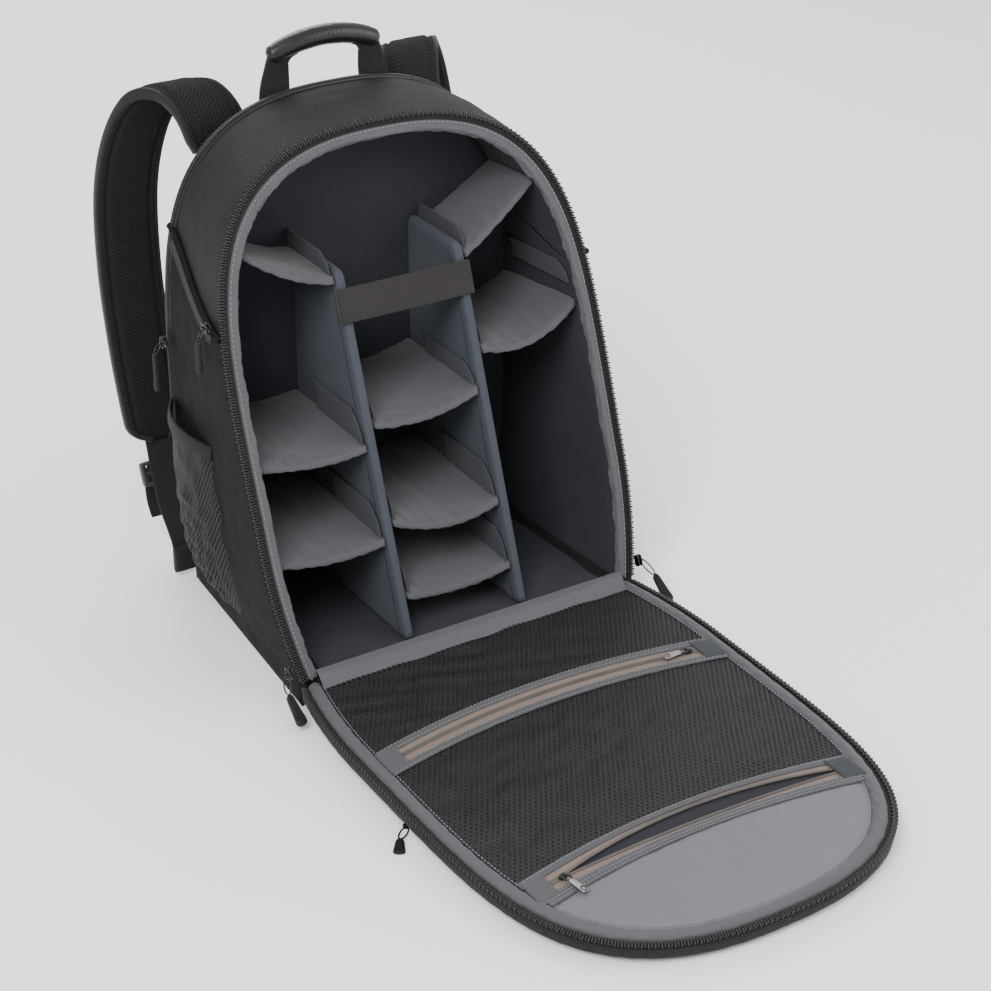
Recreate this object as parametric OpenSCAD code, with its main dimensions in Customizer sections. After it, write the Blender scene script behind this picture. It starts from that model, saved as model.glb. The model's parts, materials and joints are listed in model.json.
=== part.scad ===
/* [Pack] */
// Depth of the pack at its base, from the flap hinge to the back panel's outer face
base_depth = 215; // [190:1:250]
// Thickness of the padded base, which is also the height of the flap hinge
base_thick = 22; // [20:1:26]
// Length of the front opening along its sloping plane
opening_length = 392; // [330:1:470]
// Half of the opening's greatest width
opening_half = 160; // [134:1:192]
// How much narrower each side is at the flap hinge than at its widest
hinge_taper = 11; // [4:1:20]
// Distance from the hinge at which the opening is widest
widest_at = 97; // [70:1:120]
// How far the opening leans back from upright, in degrees
lean = 20; // [14:1:22]
// Thickness of the padded side and top walls
wall = 12; // [11:1:15]

/* [Back] */
// How far the top of the back panel stands above the apex of the opening
back_rise = 7; // [0:1:30]
// How much narrower each side is at the back panel than at the opening
back_taper = 13; // [0:1:20]
// Thickness of the back panel
back_thick = 8; // [5:1:14]
// Thickness of each air-mesh pad on the back panel
back_pad = 5; // [3:1:8]
// Depth of the laptop sleeve
sleeve = 24; // [15:1:32]
// Thickness of the partition between the camera cells and the laptop sleeve
partition = 7; // [4:1:12]

/* [Flap] */
// Thickness of the foam board in the flap
board = 10; // [6:1:11]
// Thickness of the pocket on the outside of the flap
front_pocket_thick = 4; // [2:1:5]
// Thickness of the pockets sewn on the inside of the flap
pocket_thick = 3; // [2:0.5:4]
// Distance from the hinge to the middle of the first pocket zip
zip_1_at = 100; // [80:1:130]
// Distance from the hinge to the middle of the second pocket zip
zip_2_at = 278; // [220:1:300]
// Width of each pocket's zip band
band_width = 30; // [20:1:36]

/* [Dividers] */
// Thickness of the long dividers
long_divider_thick = 10; // [6:1:14]
// Thickness of the short dividers
short_divider_thick = 8; // [5:1:11]
// Distance from the middle of the pack to each long divider's middle face
long_divider_x = 51; // [42:1:60]
// Height of the long dividers along the opening
long_divider_height = 286; // [270:1:300]
// How far the dividers stay behind the opening's plane
recess = 8; // [8:1:20]

/* [Straps] */
// Width of a padded shoulder strap
strap_width = 50; // [40:1:58]
// Thickness of a padded shoulder strap
strap_thick = 12; // [8:1:14]
// Width of the webbing below the shoulder strap
webbing_width = 25; // [20:1:30]
// Distance between the middles of the carry handle's legs
handle_span = 80; // [60:1:84]
// Height of the carry handle above the back panel
handle_rise = 42; // [34:1:56]
// Diameter of the carry handle's grip
grip = 16; // [12:1:20]

/* [Hidden] */
short_names = ["left_1", "left_2", "left_3", "middle_1", "middle_2", "middle_3", "right_1", "right_2"];

fit_gap = 0.3;
skin = 1;
zip_width = 5;
zip_thick = 2;
zip_gap = 1;
steps = 40;
side_end = 0.5;
// Across the zip, through the tape and along the zip.
slider_size = [7, 5, 10];
pull_length = 34;
pull_size = [7, 2.4];
pull_short = 24;
wide_power = 2.48;
tall_power = 4.86;

y_hinge = -base_depth / 2;
y_back = base_depth / 2;
y_panel = y_back - back_thick;
y_sleeve = y_panel - sleeve;
y_cells = y_sleeve - partition;
apex_z = base_thick + opening_length * cos(lean);
back_z = apex_z + back_rise;
flap_z = base_thick - zip_thick - zip_gap;
lining_z = front_pocket_thick + board;
pocket_z = lining_z + skin;
hinge_half = opening_half - hinge_taper;

// ---------------------------------------------------------------- outlines
// One side of an arch-shaped outline: s runs from the hinge (0) to the apex (1).
function half_outline(s, half, taper, widest, length) =
    s < 0.25
    ? [half - taper * pow(1 - s / 0.25, 2), widest * s / 0.25]
    : let (a = 90 * pow((s - 0.25) / 0.75, 2))
      [half * pow(cos(a), 2 / wide_power), widest + (length - widest) * pow(sin(a), 2 / tall_power)];

// The whole outline: t runs from the left hinge end (-1) over the apex (0) to the right end (1).
function outline(t, half, taper, widest, length) =
    let (p = half_outline(1 - abs(t), half, taper, widest, length))
    [t < 0 ? -p.x : p.x, p.y];
function opening_outline(t, inset) =
    outline(t, opening_half - inset, hinge_taper, widest_at, opening_length - inset);
function back_outline(t, inset) =
    outline(t, opening_half - back_taper - inset, hinge_taper, widest_at, back_z - base_thick - inset);

// A point of the sloping opening plane: x across, h up the slope, d into the pack.
function in_opening(x, h, d = 0) =
    [x, y_hinge + h * sin(lean) + d * cos(lean), base_thick + h * cos(lean) - d * sin(lean)];
function front_point(t, inset, d = 0) =
    let (p = opening_outline(t, inset)) in_opening(p.x, p.y, d);
function back_point(t, inset) =
    let (p = back_outline(t, inset)) [p.x, y_panel, base_thick + p.y];
// A point of the ruled wall: v runs from the opening (0) to the back panel (1).
function wall_point(t, v, inset) = (1 - v) * front_point(t, inset) + v * back_point(t, inset);

// A closed solid through equal closed loops of points, capped at both ends. The caps of a paired loop,
// whose second half runs back along its first, are strips of triangles between the two halves.
module loft(loops, paired = false) {
    n = len(loops[0]);
    m = len(loops);
    last = (m - 1) * n;
    sides = [for (i = [0:m - 2], j = [0:n - 1])
        let (a = i * n + j, b = i * n + (j + 1) % n)
        each [[a, b, b + n], [a, b + n, a + n]]];
    strips = [for (j = [0:n / 2 - 2])
        let (a = j, b = j + 1, c = n - 2 - j, d = n - 1 - j)
        each [[c, b, a], [d, c, a], [last + a, last + b, last + c], [last + a, last + c, last + d]]];
    caps = paired || n == 4 ? strips : [[for (j = [n - 1:-1:0]) j], [for (j = [0:n - 1]) last + j]];
    polyhedron([for (l = loops) each l], concat(sides, caps));
}

// ---------------------------------------------------------------- shell
module wall_part(from, to, count) {
    loft([for (i = [0:count])
        let (t = from + (to - from) * i / count)
        [wall_point(t, 0, 0), wall_point(t, 0, wall), wall_point(t, 1, wall), wall_point(t, 1, 0)]]);
}

// The straight stretch of a side wall between the floor and the hinge.
module wall_foot(side) {
    loft([for (z = [0, base_thick])
        let (f = wall_point(side, 0, 0), b = wall_point(side, 1, 0), s = side * wall)
        [[f.x, f.y, z], [f.x - s, f.y, z], [b.x - s, b.y, z], [b.x, b.y, z]]]);
}

module side_wall(side) {
    color([0.11, 0.11, 0.12]) {
        if (side < 0) wall_part(-1, -side_end, steps / 2);
        else wall_part(side_end, 1, steps / 2);
        mirror([side > 0 ? 1 : 0, 0, 0]) wall_foot(-1);
    }
}

module top_wall() {
    color([0.14, 0.14, 0.15]) wall_part(-side_end, side_end, steps);
}

module base_panel() {
    front = hinge_half - wall;
    back = front - back_taper;
    color([0.1, 0.1, 0.1])
        linear_extrude(base_thick)
            polygon([[-front, y_hinge], [front, y_hinge], [back, y_panel], [-back, y_panel]]);
}

// The space inside the walls, drawn back by a gap, and standing another gap above the base.
module inside(gap, from_y, to_y, foot_gap) {
    loop = [for (i = [-steps:steps]) i / steps];
    intersection() {
        loft([[for (t = loop) wall_point(t, 1, wall + gap)], [for (t = loop) wall_point(t, 0, wall + gap)]]);
        translate([-opening_half, from_y, base_thick + foot_gap])
            cube([2 * opening_half, to_y - from_y, back_z]);
    }
}

module rear_partition() {
    color([0.3, 0.32, 0.35]) inside(fit_gap, y_cells, y_sleeve, 0);
}

module back_plate(inset) {
    loop = [for (i = [-steps:steps]) back_outline(i / steps, inset)];
    foot = hinge_half - back_taper - inset;
    rotate([90, 0, 0])
        linear_extrude(back_thick)
            polygon(concat([for (p = loop) [p.x, p.y + base_thick]], [[foot, inset], [-foot, inset]]));
}

pad_width = 92;
pad_gap = 24;
pad_bottom = 60;
pad_height = 250;

module back_panel() {
    color([0.1, 0.1, 0.11]) {
        translate([0, y_back, 0]) back_plate(0);
        for (side = [-1, 1])
            translate([side * (pad_gap + pad_width) / 2 - pad_width / 2, y_back, pad_bottom])
                cube([pad_width, back_pad, pad_height]);
    }
}

// ---------------------------------------------------------------- zips on the shell
module body_zip_track() {
    color([0.05, 0.05, 0.05])
        loft([for (i = [-steps:steps])
            let (t = i / steps)
            [front_point(t, 0, -zip_thick), front_point(t, zip_width, -zip_thick),
             front_point(t, zip_width), front_point(t, 0)]]);
}

module opening_binding() {
    rib = zip_thick - 0.5;
    color([0.42, 0.42, 0.44])
        loft([for (i = [-steps:steps])
            let (t = i / steps)
            [front_point(t, zip_width, -rib), front_point(t, wall, -rib),
             front_point(t, wall), front_point(t, zip_width)]]);
}

// A strip on the outside of the wall, between v0 and v1, from t = from to t = to.
module outer_strip(from, to, v0, v1, thick, count) {
    loft([for (i = [0:count])
        let (t = from + (to - from) * i / count)
        [wall_point(t, v0, -thick), wall_point(t, v0, -fit_gap),
         wall_point(t, v1, -fit_gap), wall_point(t, v1, -thick)]]);
}

laptop_zip_end = 0.55;
laptop_zip_v = [0.93, 0.98];
laptop_zip_steps = 44;

module laptop_zip_track() {
    color([0.05, 0.05, 0.05])
        outer_strip(
            -laptop_zip_end, laptop_zip_end, laptop_zip_v[0], laptop_zip_v[1], zip_thick, laptop_zip_steps);
}

// The side zip runs over the left shoulder, from the back seam forward to the opening.
side_zip_front = -0.46;
side_zip_back = -0.37;
side_zip_half = 0.012;
function side_zip_t(v) = side_zip_front + (side_zip_back - side_zip_front) * (3 - 2 * v) * v * v;

module side_zip_track() {
    color([0.05, 0.05, 0.05])
        loft([for (i = [1:11])
            let (v = i * 0.9 / 12, t = side_zip_t(v))
            [wall_point(t - side_zip_half, v, -zip_thick), wall_point(t + side_zip_half, v, -zip_thick),
             wall_point(t + side_zip_half, v, -fit_gap), wall_point(t - side_zip_half, v, -fit_gap)]]);
}

// ---------------------------------------------------------------- side pockets
pocket_front_v = 0.42;
pocket_back_v = 0.97;
pocket_top_t = 0.69;
pocket_bulge = 16;
pocket_rows = 8;
sheet = 2;
// How far the pocket's sheet stands off the wall: nothing at its sewn edges and at its foot.
pocket_columns = 10;
function pocket_out(k, fill) = sheet + (pocket_bulge - sheet) * sin(180 * k / pocket_columns) * fill;
function pocket_v(k) = pocket_front_v + (pocket_back_v - pocket_front_v) * k / pocket_columns;

module pocket_band(t0, t1, rows, foot, extra) {
    loft([for (i = [0:rows])
        let (t = -(t0 + (t1 - t0) * i / rows), fill = foot ? min(1, sqrt(i / 3)) : 1)
        concat([for (k = [0:pocket_columns]) wall_point(t, pocket_v(k), -pocket_out(k, fill) - extra)],
               [for (k = [pocket_columns:-1:0]) wall_point(t, pocket_v(k), sheet - pocket_out(k, fill))])],
        paired = true);
}

module mesh_pocket() {
    color([0.08, 0.08, 0.08]) pocket_band(1, pocket_top_t, pocket_rows, true, 0);
}

module pocket_bindings() {
    color([0.06, 0.06, 0.06])
        for (side = [0, 1]) mirror([side, 0, 0]) pocket_band(pocket_top_t, pocket_top_t - 0.025, 1, false, 1);
}

// ---------------------------------------------------------------- flap, lying open on the floor
function flap_outline(t, inset) = let (p = opening_outline(t, inset)) [p.x, y_hinge - p.y];
flap_start = 2;
rim = 14;

module flap_shape(inset) {
    intersection() {
        polygon([for (i = [-steps:steps]) flap_outline(i / steps, inset)]);
        translate([-opening_half, y_hinge - opening_length])
            square([2 * opening_half, opening_length - flap_start]);
    }
}

module flap_layer(z, thick, inset) {
    translate([0, 0, z]) linear_extrude(thick) flap_shape(inset);
}

module flap_ring(z, thick, outer, inner) {
    translate([0, 0, z])
        linear_extrude(thick)
            difference() {
                flap_shape(outer);
                polygon([for (i = [-steps:steps]) flap_outline(i / steps, inner)]);
                translate([inner - opening_half, y_hinge - widest_at])
                    square([2 * (opening_half - inner) - 2 * hinge_taper, widest_at]);
            }
}

module flap_board() {
    color([0.13, 0.13, 0.14]) flap_layer(front_pocket_thick, board, 0);
}

module flap_lining() {
    color([0.42, 0.42, 0.44]) flap_layer(lining_z, skin, 0);
}

module flap_zip_track() {
    color([0.05, 0.05, 0.05]) flap_ring(pocket_z, flap_z - pocket_z, 0, zip_width);
}

module flap_piping() {
    color([0.4, 0.4, 0.42]) flap_ring(pocket_z, flap_z - pocket_z, zip_width + skin, rim - skin);
}

// A curved band across the flap, whose ends bow away from the hinge.
bow = 22;
function band_y(x, at) = y_hinge - at - bow * pow(x / opening_half, 2);

module across(from, to) {
    n = 12;
    xs = [for (i = [-n:n]) i * opening_half / n];
    polygon(concat([for (x = xs) [x, band_y(x, from)]],
                   [for (i = [len(xs) - 1:-1:0]) [xs[i], band_y(xs[i], to)]]));
}

module flap_patch(from, to, thick) {
    translate([0, 0, pocket_z])
        linear_extrude(thick)
            intersection() {
                flap_shape(rim);
                across(from, to);
            }
}

half_band = band_width / 2;

module hinge_mesh_pocket() {
    color([0.08, 0.08, 0.08]) flap_patch(-bow, zip_1_at - half_band, pocket_thick);
}

module middle_mesh_pocket() {
    color([0.08, 0.08, 0.08]) flap_patch(zip_1_at + half_band, zip_2_at - half_band, pocket_thick);
}

module end_panel() {
    color([0.55, 0.55, 0.57]) flap_patch(zip_2_at + half_band, opening_length, pocket_thick);
}

module zip_band_1() {
    color([0.55, 0.5, 0.47]) flap_patch(zip_1_at - half_band, zip_1_at + half_band, pocket_thick);
}

module zip_band_2() {
    color([0.55, 0.5, 0.47]) flap_patch(zip_2_at - half_band, zip_2_at + half_band, pocket_thick);
}

module hinge_gusset() {
    color([0.4, 0.4, 0.42])
        translate([-hinge_half + rim, y_hinge - flap_start, lining_z])
            cube([2 * (hinge_half - rim), flap_start - fit_gap, skin]);
}

front_pocket_inset = 22;
front_zip_at = 165;
front_zip_thick = 1.2;
// The outer pocket's zip lies in a channel that also takes its pull.
channel = [zip_width + 1, pull_short + 8];

module zip_channel() {
    translate([-opening_half, y_hinge - front_zip_at - channel.y])
        square([2 * opening_half, channel.x + channel.y]);
}

module front_pocket() {
    color([0.12, 0.12, 0.13])
        linear_extrude(front_pocket_thick)
            difference() {
                flap_shape(front_pocket_inset);
                zip_channel();
            }
}

module front_pocket_zip() {
    color([0.05, 0.05, 0.05])
        translate([0, 0, front_pocket_thick - front_zip_thick])
            linear_extrude(front_zip_thick)
                intersection() {
                    flap_shape(front_pocket_inset);
                    translate([-opening_half, y_hinge - front_zip_at - zip_width])
                        square([2 * opening_half, zip_width]);
                }
}

// ---------------------------------------------------------------- dividers
// Everything in the camera cells lies behind a plane parallel to the opening.
module in_cells() {
    intersection() {
        inside(fit_gap, y_hinge, y_cells - fit_gap, fit_gap);
        far = 2 * opening_length;
        translate(in_opening(0, 0, recess))
            rotate([-lean, 0, 0])
                translate([-far / 2, 0, -far / 2])
                    cube([far, far, far]);
        children();
    }
}

module long_divider(side) {
    top = base_thick + long_divider_height * cos(lean);
    color([0.3, 0.33, 0.37])
        in_cells()
            translate([side * long_divider_x - long_divider_thick / 2, y_hinge, 0])
                cube([long_divider_thick, base_depth, top]);
}

column_edge = long_divider_x + long_divider_thick / 2 + fit_gap;
middle_edge = long_divider_x - long_divider_thick / 2 - fit_gap;
// Each short divider: left x, right x, height up the opening at its left and right end, and sag.
short_places = [
    [-opening_half, -column_edge, 352, 283, 14],
    [-opening_half, -column_edge, 166, 155, 6],
    [-opening_half, -column_edge, 92, 82, 6],
    [-middle_edge, middle_edge, 170, 176, 6],
    [-middle_edge, middle_edge, 94, 88, 9],
    [-middle_edge, middle_edge, 36, 36, 4],
    [column_edge, opening_half, 280, 352, 4],
    [column_edge, opening_half, 206, 236, 16]];

function sag_point(p, u, drop) = [
    p[0] + (p[1] - p[0]) * u,
    base_thick + (p[2] + (p[3] - p[2]) * u - 4 * p[4] * u * (1 - u)) * cos(lean) - drop];

module short_divider(p) {
    n = 8;
    color([0.4, 0.4, 0.43])
        in_cells()
            translate([0, y_back, 0])
                rotate([90, 0, 0])
                    linear_extrude(base_depth)
                        polygon(concat([for (i = [0:n]) sag_point(p, i / n, 0)],
                                       [for (i = [n:-1:0]) sag_point(p, i / n, short_divider_thick)]));
}

lens_strap_at = 262;
lens_strap_width = 26;
lens_strap_thick = 2.5;

module lens_strap() {
    half = long_divider_x + long_divider_thick / 2;
    color([0.2, 0.2, 0.2])
        translate(in_opening(-half, lens_strap_at, recess - fit_gap))
            rotate([-lean, 0, 0])
                translate([0, -lens_strap_thick, -lens_strap_width / 2])
                    cube([2 * half, lens_strap_thick, lens_strap_width]);
}

// ---------------------------------------------------------------- carry handle
leg_width = 22;
leg_thick = 3;
leg_root = 24;
handle_y = y_back + fit_gap;
grip_z = back_z + handle_rise - grip / 2;
grip_half = handle_span / 2 - grip / 2;
arch_drop = 10;

module handle_webbing() {
    color([0.08, 0.08, 0.08])
        for (side = [-1, 1])
            translate([side * handle_span / 2 - leg_width / 2, handle_y, back_z - leg_root])
                cube([leg_width, leg_thick, leg_root + handle_rise - grip - arch_drop]);
}

// The grip bows upwards between its two legs, and its rings turn with the bow.
ring_turn = 0.35;

module handle_grip() {
    n = 12;
    r = grip / 2;
    reach = handle_span / 2 + leg_width / 4;
    color([0.05, 0.05, 0.05])
        loft([for (i = [-n:n])
            let (x = reach * i / n, z = grip_z - arch_drop * pow(i / n, 2))
            [for (a = [0:30:330])
                [x - sin(a) * r * ring_turn * i / n,
                 handle_y + leg_thick / 2 + r * cos(a),
                 z + r * sin(a)]]]);
}

// ---------------------------------------------------------------- shoulder straps
// Middle line of the left strap's pad, from its root on the back panel down to the buckle.
strap_path = [
    [-82, 123, 353], [-88, 134, 380], [-98, 152, 393], [-112, 172, 386], [-126, 184, 356],
    [-136, 188, 310], [-140, 184, 250], [-140, 176, 190], [-138, 168, 140], [-136, 160, 104]];
// Middle line of the left strap's webbing, from the pad's lower end to the base of the pack.
webbing_path = [[-136, 158, 98], [-137, 150, 78], [-138, 137, 56], [-138, 123, 40], [-138, 114, 30]];

function catmull(p0, p1, p2, p3, u) =
    0.5 * (2 * p1 + (p2 - p0) * u + (2 * p0 - 5 * p1 + 4 * p2 - p3) * u * u
        + (3 * p1 - p0 - 3 * p2 + p3) * u * u * u);
function smooth(path, per) =
    let (n = len(path))
    [for (i = [0:n - 2], k = [0:per - 1])
        catmull(path[max(i - 1, 0)], path[i], path[i + 1], path[min(i + 2, n - 1)], k / per)];
function across_path(path, i) =
    let (a = path[max(i - 1, 0)], b = path[min(i + 1, len(path) - 1)], d = b - a)
    [0, -d.z, d.y] / norm([0, d.y, d.z]);

// A flat strip that follows a path, with its width along X.
module ribbon(path, width, thick) {
    loft([for (i = [0:len(path) - 1])
        let (n = across_path(path, i) * thick / 2, w = [width / 2, 0, 0])
        [path[i] - w - n, path[i] - w + n, path[i] + w + n, path[i] + w - n]]);
}

module strap_pad() {
    color([0.1, 0.1, 0.1]) ribbon(smooth(strap_path, 3), strap_width, strap_thick);
}

module strap_webbing() {
    color([0.08, 0.08, 0.08]) ribbon(smooth(webbing_path, 2), webbing_width, leg_thick);
}

lock_size = [38, 6, 20];
lock_turn = -22;

module ladder_lock() {
    at = webbing_path[1];
    bar = 4;
    slot = [lock_size.x - 2 * bar - 2, lock_size.y + 2, lock_size.z / 2 - 1.5 * bar];
    color([0.05, 0.05, 0.05])
        translate(at + [0, leg_thick / 2 + fit_gap, 0])
            rotate([lock_turn, 0, 0])
                translate([-lock_size.x / 2, 0, -lock_size.z / 2])
                    difference() {
                        cube(lock_size);
                        for (z = [bar, lock_size.z / 2 + bar / 2])
                            translate([bar + 1, -1, z])
                                cube(slot);
                    }
}

anchor_thick = 8;
anchor_top = 34;
anchor_base = [6, 22];

module strap_anchors() {
    color([0.08, 0.08, 0.08])
        for (side = [0, 1])
            mirror([side, 0, 0]) {
                translate([strap_path[0].x - strap_width / 2, y_back, strap_path[0].z - anchor_top - 3])
                    cube([strap_width, anchor_thick, anchor_top]);
                translate([webbing_path[4].x - webbing_width / 2, y_back, anchor_base[0]])
                    cube([webbing_width, anchor_thick, anchor_base[1]]);
            }
}

// ---------------------------------------------------------------- sliders and their pulls
// A slider stands on the track at a place; its pull hangs from the slider's end.
module slider(at, turn) {
    color([0.16, 0.16, 0.17])
        translate(at)
            rotate(turn)
                translate(-slider_size / 2)
                    cube(slider_size);
}

module pull(at, turn, length) {
    eye = 2;
    color([0.05, 0.05, 0.05])
        translate(at)
            rotate(turn)
                difference() {
                    translate([-pull_size.x / 2, -pull_size.y / 2, -length])
                        cube([pull_size.x, pull_size.y, length]);
                    translate([0, pull_size.y, -eye - 1])
                        rotate([90, 0, 0])
                            cylinder(d = eye, h = 2 * pull_size.y, $fn = 24);
                }
}

main_slider_h = 9;
main_slider_gap = 4.5;
main_slider_at = in_opening(opening_outline(-1, 0).x - slider_size.x / 2 - main_slider_gap, main_slider_h, 0);
main_pull_turn = [-58, 0, 0];
main_pull_drop = [-6, -5];
main_pull_at = [
    -opening_half - pull_size.x / 2 - 1,
    main_slider_at.y + main_pull_drop[0],
    main_slider_at.z + main_pull_drop[1]];

module main_pull() {
    pull(main_pull_at, main_pull_turn, pull_length);
}

laptop_slider_t = -0.58;
laptop_slider_at =
    wall_point(laptop_slider_t, (laptop_zip_v[0] + laptop_zip_v[1]) / 2, -slider_size.x / 2 - zip_thick - 1);
laptop_pull_at = laptop_slider_at + [-(slider_size.x + pull_size.x) / 2 - 1, 0, 0];

side_slider_v = 0.12;
side_slider_gap = 1.5;
side_pull_forward = 2;
side_slider_at =
    wall_point(side_zip_t(side_slider_v), side_slider_v, -zip_thick - slider_size.y / 2 - side_slider_gap);
side_pull_at = side_slider_at + [-(slider_size.x + pull_size.x) / 2 - 1, -side_pull_forward, 0];

flat_slider_thick = 2;
pocket_slider_z = pocket_z + pocket_thick + flat_slider_thick / 2 + fit_gap;
pocket_1_x = 122;
pocket_2_x = -108;
flat_pull_thick = 1.2;
function pocket_slider_at(x, at) = [x, band_y(x, at), pocket_slider_z];

front_slider_at = [-opening_half + 4, y_hinge - front_zip_at - zip_width / 2, 1.6];
front_pull_at = [front_slider_at.x - slider_size.z / 2 - 2, front_slider_at.y - slider_size.x / 2, -0.5];

module flat_slider(at) {
    color([0.16, 0.16, 0.17])
        translate([at.x - slider_size.z / 2, at.y - slider_size.x / 2, at.z - flat_slider_thick / 2])
            cube([slider_size.z, slider_size.x, flat_slider_thick]);
}

module flat_pull(at, turn) {
    color([0.3, 0.3, 0.31])
        translate([at.x, at.y, at.z + 1 + fit_gap])
            rotate([0, 0, turn])
                translate([0, -pull_size.x / 2, 0])
                    cube([pull_short, pull_size.x, flat_pull_thick]);
}

base_panel();
side_wall(-1);  // left_side_wall
side_wall(1);  // right_side_wall
top_wall();
rear_partition();
back_panel();
body_zip_track();
opening_binding();
laptop_zip_track();
side_zip_track();
mesh_pocket();  // left_mesh_pocket
mirror([1, 0, 0]) mesh_pocket();  // right_mesh_pocket
pocket_bindings();
strap_anchors();
flap_board();
flap_lining();
flap_piping();
flap_zip_track();
hinge_gusset();
hinge_mesh_pocket();
middle_mesh_pocket();
end_panel();
zip_band_1();
zip_band_2();
front_pocket();
front_pocket_zip();
long_divider(-1);  // long_divider_left
long_divider(1);  // long_divider_right
lens_strap();
short_divider(short_places[0]);  // short_divider_left_1
short_divider(short_places[1]);  // short_divider_left_2
short_divider(short_places[2]);  // short_divider_left_3
short_divider(short_places[3]);  // short_divider_middle_1
short_divider(short_places[4]);  // short_divider_middle_2
short_divider(short_places[5]);  // short_divider_middle_3
short_divider(short_places[6]);  // short_divider_right_1
short_divider(short_places[7]);  // short_divider_right_2
handle_webbing();
handle_grip();
strap_pad();  // left_strap_pad
mirror([1, 0, 0]) strap_pad();  // right_strap_pad
strap_webbing();  // left_strap_webbing
mirror([1, 0, 0]) strap_webbing();  // right_strap_webbing
ladder_lock();  // left_ladder_lock
mirror([1, 0, 0]) ladder_lock();  // right_ladder_lock
slider(main_slider_at, [-lean, 0, 0]);  // left_main_slider
mirror([1, 0, 0]) slider(main_slider_at, [-lean, 0, 0]);  // right_main_slider
main_pull();  // left_main_pull
mirror([1, 0, 0]) main_pull();  // right_main_pull
slider(laptop_slider_at, [0, 0, 0]);  // laptop_slider
pull(laptop_pull_at, [0, 0, 0], pull_length + 6);  // laptop_pull
slider(side_slider_at, [0, 0, 0]);  // side_slider
pull(side_pull_at, [0, 0, 0], pull_length);  // side_pull
flat_slider(pocket_slider_at(pocket_1_x, zip_1_at));  // pocket_1_slider
flat_pull(pocket_slider_at(pocket_1_x, zip_1_at), 180);  // pocket_1_pull
flat_slider(pocket_slider_at(pocket_2_x, zip_2_at));  // pocket_2_slider
flat_pull(pocket_slider_at(pocket_2_x, zip_2_at), -80);  // pocket_2_pull
flat_slider(front_slider_at);  // front_pocket_slider
flat_pull(front_pull_at, -122);  // front_pocket_pull
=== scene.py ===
import json
import math

import bmesh
import bpy
import numpy as np
from mathutils import Matrix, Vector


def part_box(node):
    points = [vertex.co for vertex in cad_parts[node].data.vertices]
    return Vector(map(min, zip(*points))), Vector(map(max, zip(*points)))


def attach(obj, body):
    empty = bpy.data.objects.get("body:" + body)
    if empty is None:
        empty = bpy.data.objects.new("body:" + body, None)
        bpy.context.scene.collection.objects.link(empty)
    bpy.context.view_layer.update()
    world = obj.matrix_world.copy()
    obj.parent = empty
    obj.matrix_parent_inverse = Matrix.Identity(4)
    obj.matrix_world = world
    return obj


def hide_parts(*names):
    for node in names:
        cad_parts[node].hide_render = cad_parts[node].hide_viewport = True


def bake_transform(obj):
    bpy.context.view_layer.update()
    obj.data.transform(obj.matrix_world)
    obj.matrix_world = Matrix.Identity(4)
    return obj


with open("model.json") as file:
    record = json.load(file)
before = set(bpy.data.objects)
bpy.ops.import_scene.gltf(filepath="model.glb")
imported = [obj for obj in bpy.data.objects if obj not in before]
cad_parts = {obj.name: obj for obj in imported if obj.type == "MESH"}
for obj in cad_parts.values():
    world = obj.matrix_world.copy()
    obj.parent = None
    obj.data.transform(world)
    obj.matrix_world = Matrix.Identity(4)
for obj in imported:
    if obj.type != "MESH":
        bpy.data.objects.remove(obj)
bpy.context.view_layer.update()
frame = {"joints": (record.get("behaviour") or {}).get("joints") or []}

# ---- Camera, floor and light
# A long lens looks down on the open pack from its front left. The floor is a pale sweep, and three
# large soft lamps light it as in a studio.
CAMERA_AT = np.array([-0.7503, -1.3352, 0.9277])
CAMERA_AZIMUTH = math.radians(-32.091)
CAMERA_ELEVATION = math.radians(28.81)
CAMERA_ROLL = math.radians(0.271)
LENS = 80.04

camera_data = bpy.data.cameras.new("studio_camera")
camera_data.lens = LENS
camera_data.sensor_width = 36.0
camera_data.clip_end = 20.0
camera = bpy.data.objects.new("studio_camera", camera_data)
bpy.context.scene.collection.objects.link(camera)
cos_e, sin_e = math.cos(CAMERA_ELEVATION), math.sin(CAMERA_ELEVATION)
back = np.array([math.sin(CAMERA_AZIMUTH) * cos_e, -math.cos(CAMERA_AZIMUTH) * cos_e, sin_e])
right = np.cross(-back, [0.0, 0.0, 1.0])
right /= np.linalg.norm(right)
up = np.cross(right, -back)
roll_c, roll_s = math.cos(CAMERA_ROLL), math.sin(CAMERA_ROLL)
axes = np.stack([right * roll_c + up * roll_s, up * roll_c - right * roll_s, back], axis=1)
placed = np.eye(4)
placed[:3, :3] = axes
placed[:3, 3] = CAMERA_AT
camera.matrix_world = Matrix(placed.tolist())
bpy.context.scene.camera = camera


def link(data, name):
    """A new object in the scene for this mesh."""
    thing = bpy.data.objects.new(name, data)
    bpy.context.scene.collection.objects.link(thing)
    return thing


floor_mesh = bpy.data.meshes.new("floor")
FLOOR_HALF = 6.0
floor_mesh.from_pydata(
    [
        (-FLOOR_HALF, -FLOOR_HALF, 0), (FLOOR_HALF, -FLOOR_HALF, 0), (FLOOR_HALF, FLOOR_HALF, 0),
        (-FLOOR_HALF, FLOOR_HALF, 0),
    ],
    [],
    [(0, 1, 2, 3)],
)
floor = link(floor_mesh, "floor")
floor_paint = bpy.data.materials.new("floor_paper")
floor_paint.use_nodes = True
paper = floor_paint.node_tree.nodes["Principled BSDF"]
paper.inputs["Base Color"].default_value = (0.9, 0.9, 0.9, 1)
paper.inputs["Roughness"].default_value = 0.9
floor_mesh.materials.append(floor_paint)

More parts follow.
